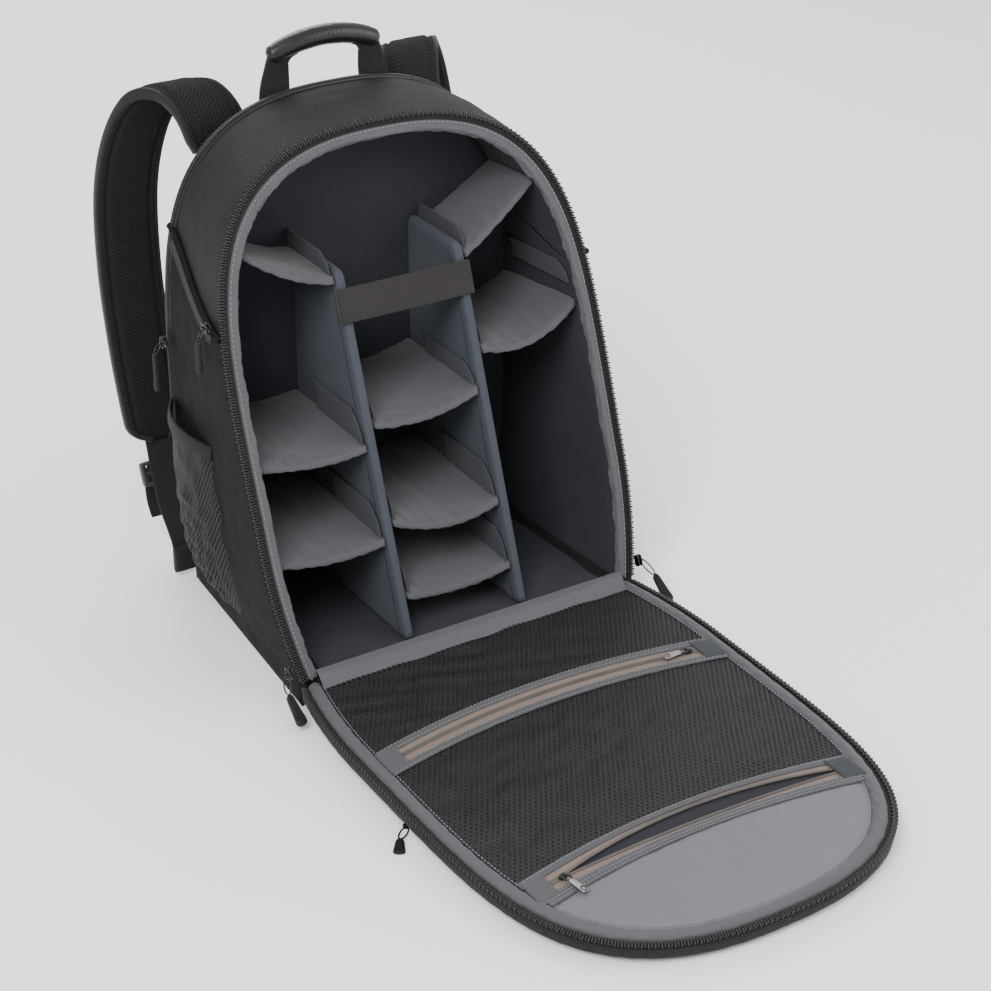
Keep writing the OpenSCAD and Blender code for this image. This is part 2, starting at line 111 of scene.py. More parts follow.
world = bpy.data.worlds.new("studio")
world.use_nodes = True
world.node_tree.nodes["Background"].inputs["Color"].default_value = (1, 1, 1, 1)
world.node_tree.nodes["Background"].inputs["Strength"].default_value = 1.05
bpy.context.scene.world = world
for name, place, power, size in (
    ("key", (-1.6, -1.4, 2.2), 92, 1.4),
    ("fill", (1.8, -1.6, 1.3), 36, 1.8),
    ("rim", (0.5, 1.8, 1.9), 36, 1.4),
):
    lamp_data = bpy.data.lights.new(name, "AREA")
    lamp_data.energy = power
    lamp_data.size = size
    lamp = link(lamp_data, name)
    aim = np.array([0.0, -0.1, 0.15]) - np.array(place)
    aim /= np.linalg.norm(aim)
    side = np.cross(aim, [0, 0, 1])
    side /= np.linalg.norm(side)
    turned = np.eye(4)
    turned[:3, :3] = np.stack([side, np.cross(side, aim), -aim], axis=1)
    turned[:3, 3] = place
    lamp.matrix_world = Matrix(turned.tolist())

# ---- Cloths
# Every soft part is cut from a few cloths: coarse and fine nylon, a grey lining, brushed loop cloth
# and black meshes. A weave follows the cloth through the piece's own UV map, which is in metres.
def node_group(name, inputs, outputs):
    """A new shader group with float or vector inputs and float outputs."""
    group = bpy.data.node_groups.new(name, "ShaderNodeTree")
    for label, kind, value in inputs:
        made = group.interface.new_socket(label, in_out="INPUT", socket_type=kind)
        if value is not None:
            made.default_value = value
    for label, kind in outputs:
        group.interface.new_socket(label, in_out="OUTPUT", socket_type=kind)
    return group, group.nodes.new("NodeGroupInput"), group.nodes.new("NodeGroupOutput")


def maths(tree, operation, *values):
    """A Math node on numbers or sockets, and its output."""
    made = tree.nodes.new("ShaderNodeMath")
    made.operation = operation
    for k, value in enumerate(values):
        if isinstance(value, (int, float)):
            made.inputs[k].default_value = value
        else:
            tree.links.new(value, made.inputs[k])
    return made.outputs[0]


def weave_group():
    """Height of a woven cloth: a lattice of warp and weft bumps, slanted by Twill into diagonal ribs."""
    group, take, give = node_group(
        "weave",
        [
            ("Cloth", "NodeSocketVector", None), ("Pitch", "NodeSocketFloat", 0.001),
            ("Twill", "NodeSocketFloat", 0.0),
        ],
        [("Height", "NodeSocketFloat")],
    )
    parts = group.nodes.new("ShaderNodeSeparateXYZ")
    group.links.new(take.outputs["Cloth"], parts.inputs[0])
    turn = maths(group, "DIVIDE", 2 * math.pi, take.outputs["Pitch"])
    across = maths(group, "MULTIPLY", parts.outputs[0], turn)
    along = maths(group, "MULTIPLY", parts.outputs[1], turn)
    slanted = maths(group, "MULTIPLY", along, take.outputs["Twill"])
    warp = maths(group, "SINE", maths(group, "ADD", across, slanted))
    weft = maths(
        group, "SINE",
        maths(group, "SUBTRACT", along, maths(group, "MULTIPLY", across, take.outputs["Twill"])),
    )
    lattice = maths(group, "MULTIPLY", warp, weft)
    height = maths(group, "MULTIPLY_ADD", lattice, 0.5, 0.5)
    group.links.new(height, give.inputs["Height"])
    return group


def wear_group():
    """Slow uneven patches over a whole piece, between 0 and 1, for faded and dusty cloth."""
    group, take, give = node_group(
        "uneven", [("Size", "NodeSocketFloat", 14.0)], [("Patch", "NodeSocketFloat")]
    )
    place = group.nodes.new("ShaderNodeTexCoord")
    noise = group.nodes.new("ShaderNodeTexNoise")
    noise.inputs["Detail"].default_value = 4
    noise.inputs["Roughness"].default_value = 0.6
    group.links.new(place.outputs["Object"], noise.inputs["Vector"])
    group.links.new(take.outputs["Size"], noise.inputs["Scale"])
    group.links.new(noise.outputs["Fac"], give.inputs["Patch"])
    return group


WEAVE = weave_group()
UNEVEN = wear_group()


def paint(name, colour, rough, metal=0.0, sheen=0.0, gloss=0.5):
    """A material with one Principled shader, and that shader's tree and node."""
    made = bpy.data.materials.new(name)
    made.use_nodes = True
    tree = made.node_tree
    shader = tree.nodes["Principled BSDF"]
    shader.inputs["Base Color"].default_value = (*colour, 1)
    shader.inputs["Roughness"].default_value = rough
    shader.inputs["Metallic"].default_value = metal
    shader.inputs["Sheen Weight"].default_value = sheen
    shader.inputs["Sheen Roughness"].default_value = 0.4
    shader.inputs["Specular IOR Level"].default_value = gloss
    return made, tree, shader


def tint(tree, shader, colour, mask, low, high):
    """Base colour between low and high times the colour, by a mask."""
    mix = tree.nodes.new("ShaderNodeMix")
    mix.data_type = "RGBA"
    mix.inputs["A"].default_value = (*[c * low for c in colour], 1)
    mix.inputs["B"].default_value = (*[c * high for c in colour], 1)
    tree.links.new(mask, mix.inputs["Factor"])
    tree.links.new(mix.outputs["Result"], shader.inputs["Base Color"])


def bumped(tree, shader, height, distance, strength=1.0):
    """A bump of a real height, in metres, on the shader's normal."""
    bump = tree.nodes.new("ShaderNodeBump")
    bump.inputs["Strength"].default_value = strength
    bump.inputs["Distance"].default_value = distance
    tree.links.new(height, bump.inputs["Height"])
    tree.links.new(bump.outputs[0], shader.inputs["Normal"])


def placed_group(tree, group, **values):
    """A group placed in a material with its own values."""
    made = tree.nodes.new("ShaderNodeGroup")
    made.node_tree = group
    for label, value in values.items():
        made.inputs[label].default_value = value
    return made


def cloth_map(tree):
    """The piece's own UV map, in metres along the cloth."""
    made = tree.nodes.new("ShaderNodeUVMap")
    made.uv_map = "cloth"
    return made.outputs[0]


def woven(
    name, colour, pitch, twill=0.0, depth=0.0003, rough=0.75, sheen=0.15, low=0.55, high=1.45, patch=0.35,
    gloss=0.1,
):
    """Woven cloth: colour and bump from the weave, with slow uneven patches over it."""
    made, tree, shader = paint(name, colour, rough, sheen=sheen, gloss=gloss)
    weave = placed_group(tree, WEAVE, Pitch=pitch, Twill=twill)
    tree.links.new(cloth_map(tree), weave.inputs["Cloth"])
    uneven = placed_group(tree, UNEVEN, Size=22.0)
    mask = maths(tree, "MULTIPLY_ADD", uneven.outputs[0], patch, weave.outputs[0])
    mask = maths(tree, "SUBTRACT", mask, patch / 2)
    tint(tree, shader, colour, mask, low, high)
    bumped(tree, shader, weave.outputs[0], depth)
    return made


def brushed(name, colour, rough=0.95, sheen=0.06, fuzz=1400.0, depth=0.0004, low=0.7, high=1.35):
    """Brushed loop cloth: a fine fibre noise for colour and bump."""
    made, tree, shader = paint(name, colour, rough, sheen=sheen, gloss=0.05)
    place = tree.nodes.new("ShaderNodeTexCoord")
    fibres = tree.nodes.new("ShaderNodeTexNoise")
    fibres.inputs["Scale"].default_value = fuzz
    fibres.inputs["Detail"].default_value = 3
    tree.links.new(place.outputs["Object"], fibres.inputs["Vector"])
    uneven = placed_group(tree, UNEVEN, Size=30.0)
    mask = maths(
        tree, "ADD", maths(tree, "MULTIPLY", fibres.outputs[0], 0.55),
        maths(tree, "MULTIPLY", uneven.outputs[0], 0.5),
    )
    tint(tree, shader, colour, mask, low, high)
    bumped(tree, shader, fibres.outputs[0], depth)
    return made


COARSE_NYLON = woven(
    "coarse_nylon", (0.0105, 0.0105, 0.0115), 0.0024, twill=0.4, depth=0.0006, rough=0.55, sheen=0.0,
    low=0.0, high=2.6, gloss=0.14,
)
FINE_NYLON = woven(
    "fine_nylon", (0.006, 0.006, 0.0068), 0.0011, depth=0.0002, rough=0.65, sheen=0.0,
    low=0.4, high=1.7, gloss=0.08,
)
LINING = woven(
    "grey_lining", (0.082, 0.082, 0.09), 0.0011, depth=0.00018, rough=0.6, sheen=0.12, low=0.82, high=1.2
)
SATIN = woven(
    "light_satin", (0.135, 0.135, 0.148), 0.0009, depth=0.00015, rough=0.5, sheen=0.15, low=0.88, high=1.12
)
VELOUR = brushed("charcoal_velour", (0.026, 0.0275, 0.033))
BLUE_VELOUR = brushed("blue_grey_velour", (0.046, 0.052, 0.063))


def resample(path, count):
    """Points at equal distances along a path."""
    steps = np.linalg.norm(np.diff(path, axis=0), axis=1)
    along = np.concatenate([[0.0], np.cumsum(steps)])
    wanted = np.linspace(0.0, along[-1], count)
    return np.stack([np.interp(wanted, along, path[:, k]) for k in range(3)], axis=1)


def run_along(grid, axis):
    """Mean distance covered along one axis of a grid of points, from 0."""
    steps = np.linalg.norm(np.diff(grid, axis=axis), axis=2).mean(axis=1 - axis)
    return np.concatenate([[0.0], np.cumsum(steps)])


def outward(mesh):
    """Turns a closed mesh's faces outwards."""
    work = bmesh.new()
    work.from_mesh(mesh)
    bmesh.ops.recalc_face_normals(work, faces=work.faces)
    work.to_mesh(mesh)
    work.free()


def sew(name, grid, wrap=False, caps=False, materials=(), second=None, thick=0.0, smooth=True, uv=None):
    """A piece on a grid of points, rows by columns. wrap joins the last column to the first, caps closes
    the first and last row, second marks the columns that take the second material, and thick makes a
    solid of an open sheet. The UV map gives metres along the rows and the columns, unless uv gives two
    lengths for each point."""
    rows, cols = grid.shape[:2]
    spans = cols if wrap else cols - 1
    i, j = np.mgrid[0 : rows - 1, 0:spans]
    k = (j + 1) % cols
    quads = np.stack(
        [i * cols + j, i * cols + k, (i + 1) * cols + k, (i + 1) * cols + j], axis=-1
    ).reshape(-1, 4)
    faces = quads.tolist()
    if caps:
        faces += [list(range(cols))[::-1], list(range((rows - 1) * cols, rows * cols))]
    mesh = bpy.data.meshes.new(name)
    mesh.from_pydata(grid.reshape(-1, 3).tolist(), [], faces)
    if uv is None:
        closing = np.concatenate([grid, grid[:, :1]], axis=1) if wrap else grid
        across, along = run_along(closing, 1), run_along(grid, 0)
        corners_u = np.stack([across[j], across[j + 1], across[j + 1], across[j]], axis=-1)
        corners_v = np.stack([along[i], along[i], along[i + 1], along[i + 1]], axis=-1)
        flat = np.stack([corners_u, corners_v], axis=-1).reshape(-1)
    else:
        flat = np.stack([uv[i, j], uv[i, k], uv[i + 1, k], uv[i + 1, j]], axis=2).reshape(-1)
    layer = mesh.uv_layers.new(name="cloth")
    values = np.zeros(len(mesh.loops) * 2)
    values[: len(flat)] = flat
    layer.data.foreach_set("uv", values)
    for made in materials:
        mesh.materials.append(made)
    if second is not None:
        index = np.zeros(len(mesh.polygons), int)
        index[: len(quads)] = np.isin(j, second).reshape(-1)
        mesh.polygons.foreach_set("material_index", index)
    mesh.polygons.foreach_set("use_smooth", np.full(len(mesh.polygons), smooth))
    mesh.update()
    outward(mesh)
    piece = link(mesh, name)
    if thick:
        solid = piece.modifiers.new("thickness", "SOLIDIFY")
        solid.thickness = thick
        solid.offset = 0
    return piece


def finish(piece, body, slot, *nodes):
    """Puts a finished piece on its body and hides the CAD nodes it stands for; its material slot is not used.
    """
    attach(piece, body)
    if nodes:
        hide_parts(*nodes)
    return piece


def closed(name, grid, cloth, body, slot, *nodes, uv=None):
    """A finished piece of one material on a closed grid of points."""
    return finish(sew(name, grid, wrap=True, caps=True, materials=(cloth,), uv=uv), body, slot, *nodes)


# ---- The shell
# The pack is a wedge: a sloping arched opening in front and an upright back, joined by padded walls
# of foam between outer nylon and brushed loop cloth. The two side panels are fine nylon and the top
# panel is coarse nylon, sewn together over the shoulders.
WIDE_POWER, TALL_POWER = 2.48, 4.86
base_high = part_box("base_panel")[1]
plate_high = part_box("back_panel")[1]
FOLD = next(j for j in frame["joints"] if j["name"] == "flap_fold")
Y_HINGE, BASE_THICK = FOLD["pos_m"][1], FOLD["pos_m"][2]
LEAN = math.radians(-FOLD["range_deg"][0] - 90)
Y_BACK = -Y_HINGE
Y_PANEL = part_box("left_side_wall")[1].y
OPENING_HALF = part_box("body_zip_track")[1].x
BACK_HALF = plate_high.x
BACK_LENGTH = plate_high.z - BASE_THICK
WALL = 0.012
HINGE_TAPER = 0.011
WIDEST_AT = 0.097
OPENING_LENGTH = 0.392
FOOT = 0.06


def half_outline(s, half, taper, widest, length):
    """One side of an arch: a parabola up to its widest place, then a quarter of a superellipse."""
    low = s < 0.25
    angle = np.radians(90 * ((np.maximum(s, 0.25) - 0.25) / 0.75) ** 2)
    x = np.where(low, half - taper * (1 - s / 0.25) ** 2, half * np.abs(np.cos(angle)) ** (2 / WIDE_POWER))
    h = np.where(low, widest * s / 0.25, widest + (length - widest) * np.sin(angle) ** (2 / TALL_POWER))
    return x, h


def outline(t, half, length):
    """The whole arch: t runs from the left hinge end (-1) over the apex (0) to the right end (1)."""
    x, h = half_outline(1 - np.minimum(np.abs(t), 1), half, HINGE_TAPER, WIDEST_AT, length)
    return np.sign(t) * x, h


def in_opening(x, h, d=0.0):
    """A point of the sloping opening plane: x across, h up the slope, d into the pack."""
    x, h, d = np.broadcast_arrays(x, h, d)
    y = Y_HINGE + h * math.sin(LEAN) + d * math.cos(LEAN)
    z = BASE_THICK + h * math.cos(LEAN) - d * math.sin(LEAN)
    return np.stack([x, y, z], axis=-1)


def front_edge(t, inset, d=0.0):
    """The opening's edge, drawn in by inset."""
    x, h = outline(t, OPENING_HALF - inset, OPENING_LENGTH - inset)
    return in_opening(x, h, d)


def back_edge(t, inset):
    """The back panel's edge, drawn in by inset."""
    x, h = outline(t, BACK_HALF - inset, BACK_LENGTH - inset)
    return np.stack([x, np.full_like(x, Y_PANEL), BASE_THICK + h], axis=-1)


def wall_at(t, v, inset):
    """The ruled wall between the two edges. Past t = 1 it drops straight to the floor."""
    t, v, inset = np.broadcast_arrays(np.asarray(t, float), v, inset)
    point = (1 - v)[..., None] * front_edge(t, inset) + v[..., None] * back_edge(t, inset)
    drop = np.clip((np.abs(t) - 1) / FOOT, 0, 1)
    point[..., 2] -= drop * point[..., 2]
    return point


def ripples(a, b, seed, count=7, slow=2.0, fast=7.0):
    """Soft creases between -1 and 1: a sum of sine waves in random directions across two parameters."""
    draw = np.random.default_rng(seed)
    total = np.zeros(np.broadcast(a, b).shape)
    for _ in range(count):
        speed = draw.uniform(slow, fast)
        way = draw.uniform(0, math.pi)
        total += np.sin(
            2 * math.pi * speed * (a * math.cos(way) + b * math.sin(way)) + draw.uniform(0, 6.28)
        ) / count
    return total * 1.6


def shoulder(v):
    """Where the side and top panels meet, as t, from the opening (v = 0) to the back (v = 1)."""
    return 0.46 - 0.09 * (3 - 2 * v) * v * v


def padded_wall(name, low, high, rows, puff, crease, seed, cloth, slot, nodes):
    """A closed padded wall from t = low to t = high, which may be functions of v. Its outside swells by
    puff between its edges and creases a little; its inside is loop cloth."""
    v_out = np.linspace(0, 1, 34)
    v_in = v_out[::-1][::2]
    v = np.concatenate([v_out, v_in])[None, :]
    inside = np.concatenate([np.zeros(len(v_out)), np.ones(len(v_in))])[None, :]
    u = np.linspace(0, 1, rows)[:, None]
    from_t = low(v) if callable(low) else low
    to_t = high(v) if callable(high) else high
    t = from_t + (to_t - from_t) * u
    grid = wall_at(t, v, inside * WALL)
    plain = wall_at(t, v, 0.0)
    lift = (plain - wall_at(t, v, 0.001)) / 0.001
    lift /= np.maximum(np.linalg.norm(lift, axis=-1, keepdims=True), 1e-9)
    swell = np.sin(math.pi * np.clip(v, 0, 1)) ** 0.7 * np.clip(np.minimum(u, 1 - u) * 9, 0, 1) ** 0.5
    height = puff * swell + crease * ripples(u * 2, v * 1.4, seed) * swell
    grid = grid + lift * (height * (1 - inside) + 0.25 * crease * ripples(u, v, seed + 1) * inside)[..., None]
    columns = np.arange(len(v_out), v.size)
    piece = sew(name, grid, wrap=True, caps=True, materials=(cloth, VELOUR), second=columns)
    finish(piece, "pack", slot, *nodes)


padded_wall(
    "left_side_panel", -1 - FOOT, lambda v: -shoulder(v), 90, 0.004, 0.0012, 3, FINE_NYLON, "fine_nylon",
    ["left_side_wall"],
)
padded_wall(
    "right_side_panel", lambda v: shoulder(v), 1 + FOOT, 90, 0.004, 0.0012, 5, FINE_NYLON, "fine_nylon",
    ["right_side_wall"],
)
padded_wall(
    "top_panel", lambda v: -shoulder(v), lambda v: shoulder(v), 120, 0.003, 0.0006, 7, COARSE_NYLON,
    "coarse_nylon", ["top_wall"],
)

# ---- Base, partition and back panel
# A padded base and a padded partition of loop cloth close the camera cells. The back panel is a foam
# board in fine nylon, bound at its edge, with two quilted pads of spacer mesh.
def chevron_group():
    """Zigzag ribs: the distance along the cloth is shifted by a triangle wave across it."""
    group, take, give = node_group(
        "chevron",
        [
            ("Cloth", "NodeSocketVector", None), ("Rib", "NodeSocketFloat", 0.003),
            ("Fold", "NodeSocketFloat", 0.006),
        ],
        [("Height", "NodeSocketFloat")],
    )
    parts = group.nodes.new("ShaderNodeSeparateXYZ")
    group.links.new(take.outputs["Cloth"], parts.inputs[0])
    folded = maths(group, "PINGPONG", parts.outputs[0], take.outputs["Fold"])
    shifted = maths(group, "ADD", parts.outputs[1], folded)
    turns = maths(group, "DIVIDE", maths(group, "MULTIPLY", shifted, 2 * math.pi), take.outputs["Rib"])
    group.links.new(
        maths(group, "MULTIPLY_ADD", maths(group, "SINE", turns), 0.5, 0.5), give.inputs["Height"]
    )
    return group


CHEVRON = chevron_group()


def ribbed(name, colour, rib, fold, depth=0.0006, rough=0.8, low=0.3, high=1.7):
    """Spacer mesh knitted in zigzag ribs."""
    made, tree, shader = paint(name, colour, rough, gloss=0.1)
    zigzag = placed_group(tree, CHEVRON, Rib=rib, Fold=fold)
    tree.links.new(cloth_map(tree), zigzag.inputs["Cloth"])
    uneven = placed_group(tree, UNEVEN, Size=25.0)
    mask = maths(
        tree, "MULTIPLY_ADD", uneven.outputs[0], 0.4, maths(tree, "SUBTRACT", zigzag.outputs[0], 0.2)
    )
    tint(tree, shader, colour, mask, low, high)
    bumped(tree, shader, zigzag.outputs[0], depth)
    return made


SPACER_MESH = ribbed("spacer_mesh", (0.013, 0.013, 0.0145), 0.0030, 0.0044, low=0.55, high=1.5)
GROSGRAIN = woven(
    "black_grosgrain", (0.016, 0.016, 0.018), 0.0014, depth=0.0002, rough=0.7, low=0.5, high=1.6
)

partition_low, partition_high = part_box("rear_partition")
Y_CELLS, Y_SLEEVE = partition_low.y, partition_high.y
FLOOR_BACK = base_high.x + BACK_HALF - OPENING_HALF
PAD_LIFT = plate_high.y - Y_BACK


def signed_power(x, power):
    """The sign of x times a power of its size."""
    return np.sign(x) * np.abs(x) ** power


def rounded(width, thick, count, power=0.35):
    """A closed flat section: half the width and half the thickness times a power of cosine and sine."""
    turn = np.arange(count) * 2 * math.pi / count
    return np.stack(
        [signed_power(np.cos(turn), power) * width / 2, signed_power(np.sin(turn), power) * thick / 2], -1
    )


def edge_at_depth(t, y, inset):
    """The inner wall's edge in the upright plane at y, found along each ruling of the wall."""
    front = front_edge(t, inset)
    v = (y - front[..., 1]) / (Y_PANEL - front[..., 1])
    return wall_at(t, v, inset)


def upright_panel(name, y, thick, inset, foot, cloth, crown, body, slot, node):
    """A closed upright board inside the walls. Rows follow the arch's height, columns run across it, and
    both faces swell a little between the edges."""
    s = np.linspace(0, 1, 60)[:, None]
    u = np.concatenate([np.linspace(-1, 1, 31), np.linspace(1, -1, 31)])[None, :]
    side = np.concatenate([np.zeros(31), np.ones(31)])[None, :]
    edge = edge_at_depth(1 - s, y, inset)
    x = u * edge[..., 0]
    z = np.maximum(edge[..., 2], foot) + 0 * u
    puff = crown * np.sqrt(np.clip((1 - u**2) * np.sin(np.pi * np.clip(s * 0.92 + 0.04, 0, 1)), 0, 1))
    ys = y + side * thick + (2 * side - 1) * (puff - crown)
    grid = np.stack([x, ys + 0 * x, z], axis=-1)
    piece = sew(name, grid, wrap=True, caps=True, materials=(cloth,), uv=grid[..., [0, 2]])
    return finish(piece, body, slot, node)


upright_panel(
    "padded_partition", Y_CELLS, Y_SLEEVE - Y_CELLS, WALL, BASE_THICK, VELOUR, 0.001, "pack", "velour",
    "rear_partition",
)

floor_y = np.linspace(Y_HINGE, Y_PANEL, 26)[:, None]
base_loop = rounded(2.0, 2.0, 44, 0.16)
round_x, round_z = base_loop[None, :, 0], base_loop[None, :, 1]
floor_half = base_high.x + (FLOOR_BACK - base_high.x) * (floor_y - Y_HINGE) / (Y_PANEL - Y_HINGE)
floor_x = floor_half * round_x
floor_z = BASE_THICK / 2 * (1 + round_z) - 0.0008 * (round_z > 0.9) * (1 + ripples(floor_y * 9, round_x, 11))
base = sew(
    "padded_base",
    np.stack([floor_x, floor_y + 0 * floor_x, floor_z], axis=-1),
    wrap=True,
    caps=True,
    materials=(COARSE_NYLON, VELOUR),
    second=np.nonzero(base_loop[:, 1] > 0.97)[0],
)
finish(base, "pack", "coarse_nylon", "base_panel")

rim_t = np.linspace(-1 - FOOT, 1 + FOOT, 240)[:, None]
board_u = np.linspace(0, 2 * math.pi, 15)[:-1][None, :]
board_thick = Y_BACK - Y_PANEL
rim_point = wall_at(rim_t, 1.0, 0.004 - 0.004 * np.sin(board_u))
rim_point[..., 1] += board_thick / 2 - (board_thick / 2 - 0.0002) * np.cos(board_u)
closed("back_edge_binding", rim_point, GROSGRAIN, "pack", "webbing")

s_rows = np.concatenate([[-0.12], np.linspace(0, 1, 60)])[:, None]
across = np.concatenate([np.linspace(-1, 1, 41), np.linspace(1, -1, 41)])[None, :]
far = np.concatenate([np.zeros(41), np.ones(41)])[None, :]
board_edge = wall_at(np.minimum(1 - s_rows, 1.0), 1.0, 0.003)
board_z = np.where(s_rows < 0, 0.004, board_edge[..., 2]) + 0 * across
board_x = across * board_edge[..., 0]
dish = 0.0012 * ripples(board_x * 6, board_z * 4, 21) * (1 - np.abs(across) ** 4)
board_y = np.where(far > 0, Y_BACK - 0.0008 + dish, Y_PANEL + 0.0004)
closed(
    "back_board", np.stack([board_x, board_y, board_z], -1), FINE_NYLON, "pack", "fine_nylon", "back_panel",
    uv=np.stack([board_x, board_z], -1),
)

PAD_HALF = (0.092 / 2, 0.250 / 2)
for side in (-1, 1):
    pad_u, pad_v = np.meshgrid(np.linspace(-1, 1, 46), np.linspace(-1, 1, 110))
    lane = 0.5 + 0.5 * np.cos(3 * math.pi * pad_v + math.pi * np.abs(pad_u) * 0.8)
    groove = np.exp(-((lane / 0.12) ** 2))
    shoulder_fall = np.clip((1 - np.abs(pad_u) ** 6) * (1 - np.abs(pad_v) ** 14), 0, 1) ** 0.35
    lift = PAD_LIFT * 1.3 * shoulder_fall * (1 - 0.5 * groove) + 0.0002
    corner = 1 - 0.06 * np.abs(pad_v) ** 8
    pad_x = side * 0.058 + pad_u * PAD_HALF[0] * corner
    pad_z = 0.185 + pad_v * PAD_HALF[1] * (1 - 0.03 * np.abs(pad_u) ** 8)
    top = np.stack([pad_x, Y_BACK + lift, pad_z], -1)
    under = np.stack([pad_x, np.full_like(pad_x, Y_BACK - 0.001), pad_z], -1)
    pad = closed(
        f"back_pad_{'left' if side < 0 else 'right'}", np.concatenate([top, under[:, ::-1]], axis=1),
        SPACER_MESH, "pack", "air_mesh", "back_panel",
        uv=np.concatenate([top, under[:, ::-1]], axis=1)[..., [0, 2]],
    )

# ---- The opening's zip and binding
# Coarse black moulded teeth on a black tape run round the whole opening. Inside them a wide ribbed grey
# binding covers the raw edge of the wall and is held by one row of light stitches.
STITCH_GREY = brushed("grey_thread", (0.19, 0.19, 0.205), rough=0.6, sheen=0.1, fuzz=4000.0, depth=0.0001)
STITCH_BLACK = brushed("black_thread", (0.03, 0.03, 0.032), rough=0.6, sheen=0.1, fuzz=4000.0, depth=0.0001)
ZIP_TAPE = woven("zip_tape", (0.013, 0.013, 0.014), 0.0011, depth=0.00015, rough=0.75, low=0.6, high=1.5)


def moulded(name, colour, rough, metal=0.0, grain=900.0, depth=0.00008, gloss=0.5):
    """Moulded plastic, rubber or cast metal: a fine grain, and gloss that wears unevenly."""
    made, tree, shader = paint(name, colour, rough, metal=metal, gloss=gloss)
    place = tree.nodes.new("ShaderNodeTexCoord")
    fine = tree.nodes.new("ShaderNodeTexNoise")
    fine.inputs["Scale"].default_value = grain
    tree.links.new(place.outputs["Object"], fine.inputs["Vector"])
    uneven = placed_group(tree, UNEVEN, Size=60.0)
    tint(tree, shader, colour, uneven.outputs[0], 0.6, 1.5)
    tree.links.new(
        maths(tree, "MULTIPLY_ADD", uneven.outputs[0], 0.3, rough - 0.12), shader.inputs["Roughness"]
    )
    bumped(tree, shader, fine.outputs[0], depth)
    return made


def bead(half, power=0.45, around=10, down=6):
    """A rounded block's points and faces: half sizes times powers of a sphere's cosines and sines."""
    polar = np.linspace(0, math.pi, down + 1)[1:-1, None]
    turn = np.arange(around)[None, :] * 2 * math.pi / around
    ring = np.stack(
        [
            signed_power(np.sin(polar), power) * signed_power(np.cos(turn), power),
            signed_power(np.sin(polar), power) * signed_power(np.sin(turn), power),
            signed_power(np.cos(polar), power) + 0 * turn,
        ],
        axis=-1,
    )
    points = np.concatenate([ring.reshape(-1, 3), [[0, 0, 1], [0, 0, -1]]]) * np.asarray(half)
    i, j = np.mgrid[0 : down - 2, 0:around]
    k = (j + 1) % around
    quads = np.stack(
        [i * around + j, i * around + k, (i + 1) * around + k, (i + 1) * around + j], -1
    ).reshape(-1, 4)
    j = np.arange(around)
    last = (down - 2) * around
    top = np.stack([np.full(around, len(points) - 2), (j + 1) % around, j], -1)
    bottom = np.stack([np.full(around, len(points) - 1), last + j, last + (j + 1) % around], -1)
    return points, quads[:, ::-1].tolist() + top[:, ::-1].tolist() + bottom[:, ::-1].tolist()


def along_path(path, up):
    """Frames along a path: forwards, the side, and the given up made square to the path."""
    forward = np.gradient(path, axis=0)
    forward /= np.maximum(np.linalg.norm(forward, axis=-1, keepdims=True), 1e-9)
    up = np.broadcast_to(up, path.shape)
    up = up - (up * forward).sum(-1, keepdims=True) * forward
    up = up / np.maximum(np.linalg.norm(up, axis=-1, keepdims=True), 1e-9)
    return np.stack([forward, np.cross(up, forward), up], axis=1)


def repeated(shape, places, frames):
    """A small shape put at every place, turned by that place's frame."""
    points, faces = shape
    every = places[:, None, :] + np.einsum("mk,nkc->nmc", points, frames)
    shifted = [[corner + n * len(points) for corner in face] for n in range(len(places)) for face in faces]
    return every.reshape(-1, 3), shifted


def shell_of(grid, wrap=True, caps=True):
    """The points and faces of a grid of points, rows by columns."""
    rows, cols = grid.shape[:2]
    spans = cols if wrap else cols - 1
    i, j = np.mgrid[0 : rows - 1, 0:spans]
    k = (j + 1) % cols
    faces = np.stack(
        [i * cols + j, i * cols + k, (i + 1) * cols + k, (i + 1) * cols + j], -1
    ).reshape(-1, 4).tolist()
    if caps:
        faces += [list(range(cols))[::-1], list(range((rows - 1) * cols, rows * cols))]
    return grid.reshape(-1, 3), faces


def strip(path, up, section):
    """A section carried along a path: side and up offsets in the path's frames."""
    frames = along_path(path, up)
    return (
        path[:, None, :] + section[None, :, :1] * frames[:, None, 1]
        + section[None, :, 1:] * frames[:, None, 2]
    )


def assembled(name, parts, materials, which=None):
    """One piece made of several sets of points and faces; which gives each set's material."""
    points, faces, index = [], [], []
    for n, (some, its) in enumerate(parts):
        start = sum(len(p) for p in points)
        points.append(np.asarray(some))
        faces += [[corner + start for corner in face] for face in its]
        index += [which[n] if which else 0] * len(its)
    mesh = bpy.data.meshes.new(name)
    mesh.from_pydata(np.concatenate(points).tolist(), [], faces)
    for made in materials:
        mesh.materials.append(made)
    mesh.polygons.foreach_set("material_index", index)
    mesh.polygons.foreach_set("use_smooth", np.full(len(mesh.polygons), True))
    mesh.update()
    outward(mesh)
    return link(mesh, name)


def hung(name, grid, cloth, thick, held, rests_on, body, slot, *nodes, flat=False):
    """A finished sheet; flat lays its weave out from above."""
    piece = sew(name, grid, materials=(cloth,), thick=thick, uv=grid[..., [0, 1]] if flat else None)
    finish(piece, body, slot, *nodes)


def row_of(name, shape, line, up, cloth, body, slot, *nodes):
    """A finished row of one small shape along a path."""
    piece = assembled(name, [repeated(shape, line, along_path(line, up))], (cloth,))
    return finish(piece, body, slot, *nodes)


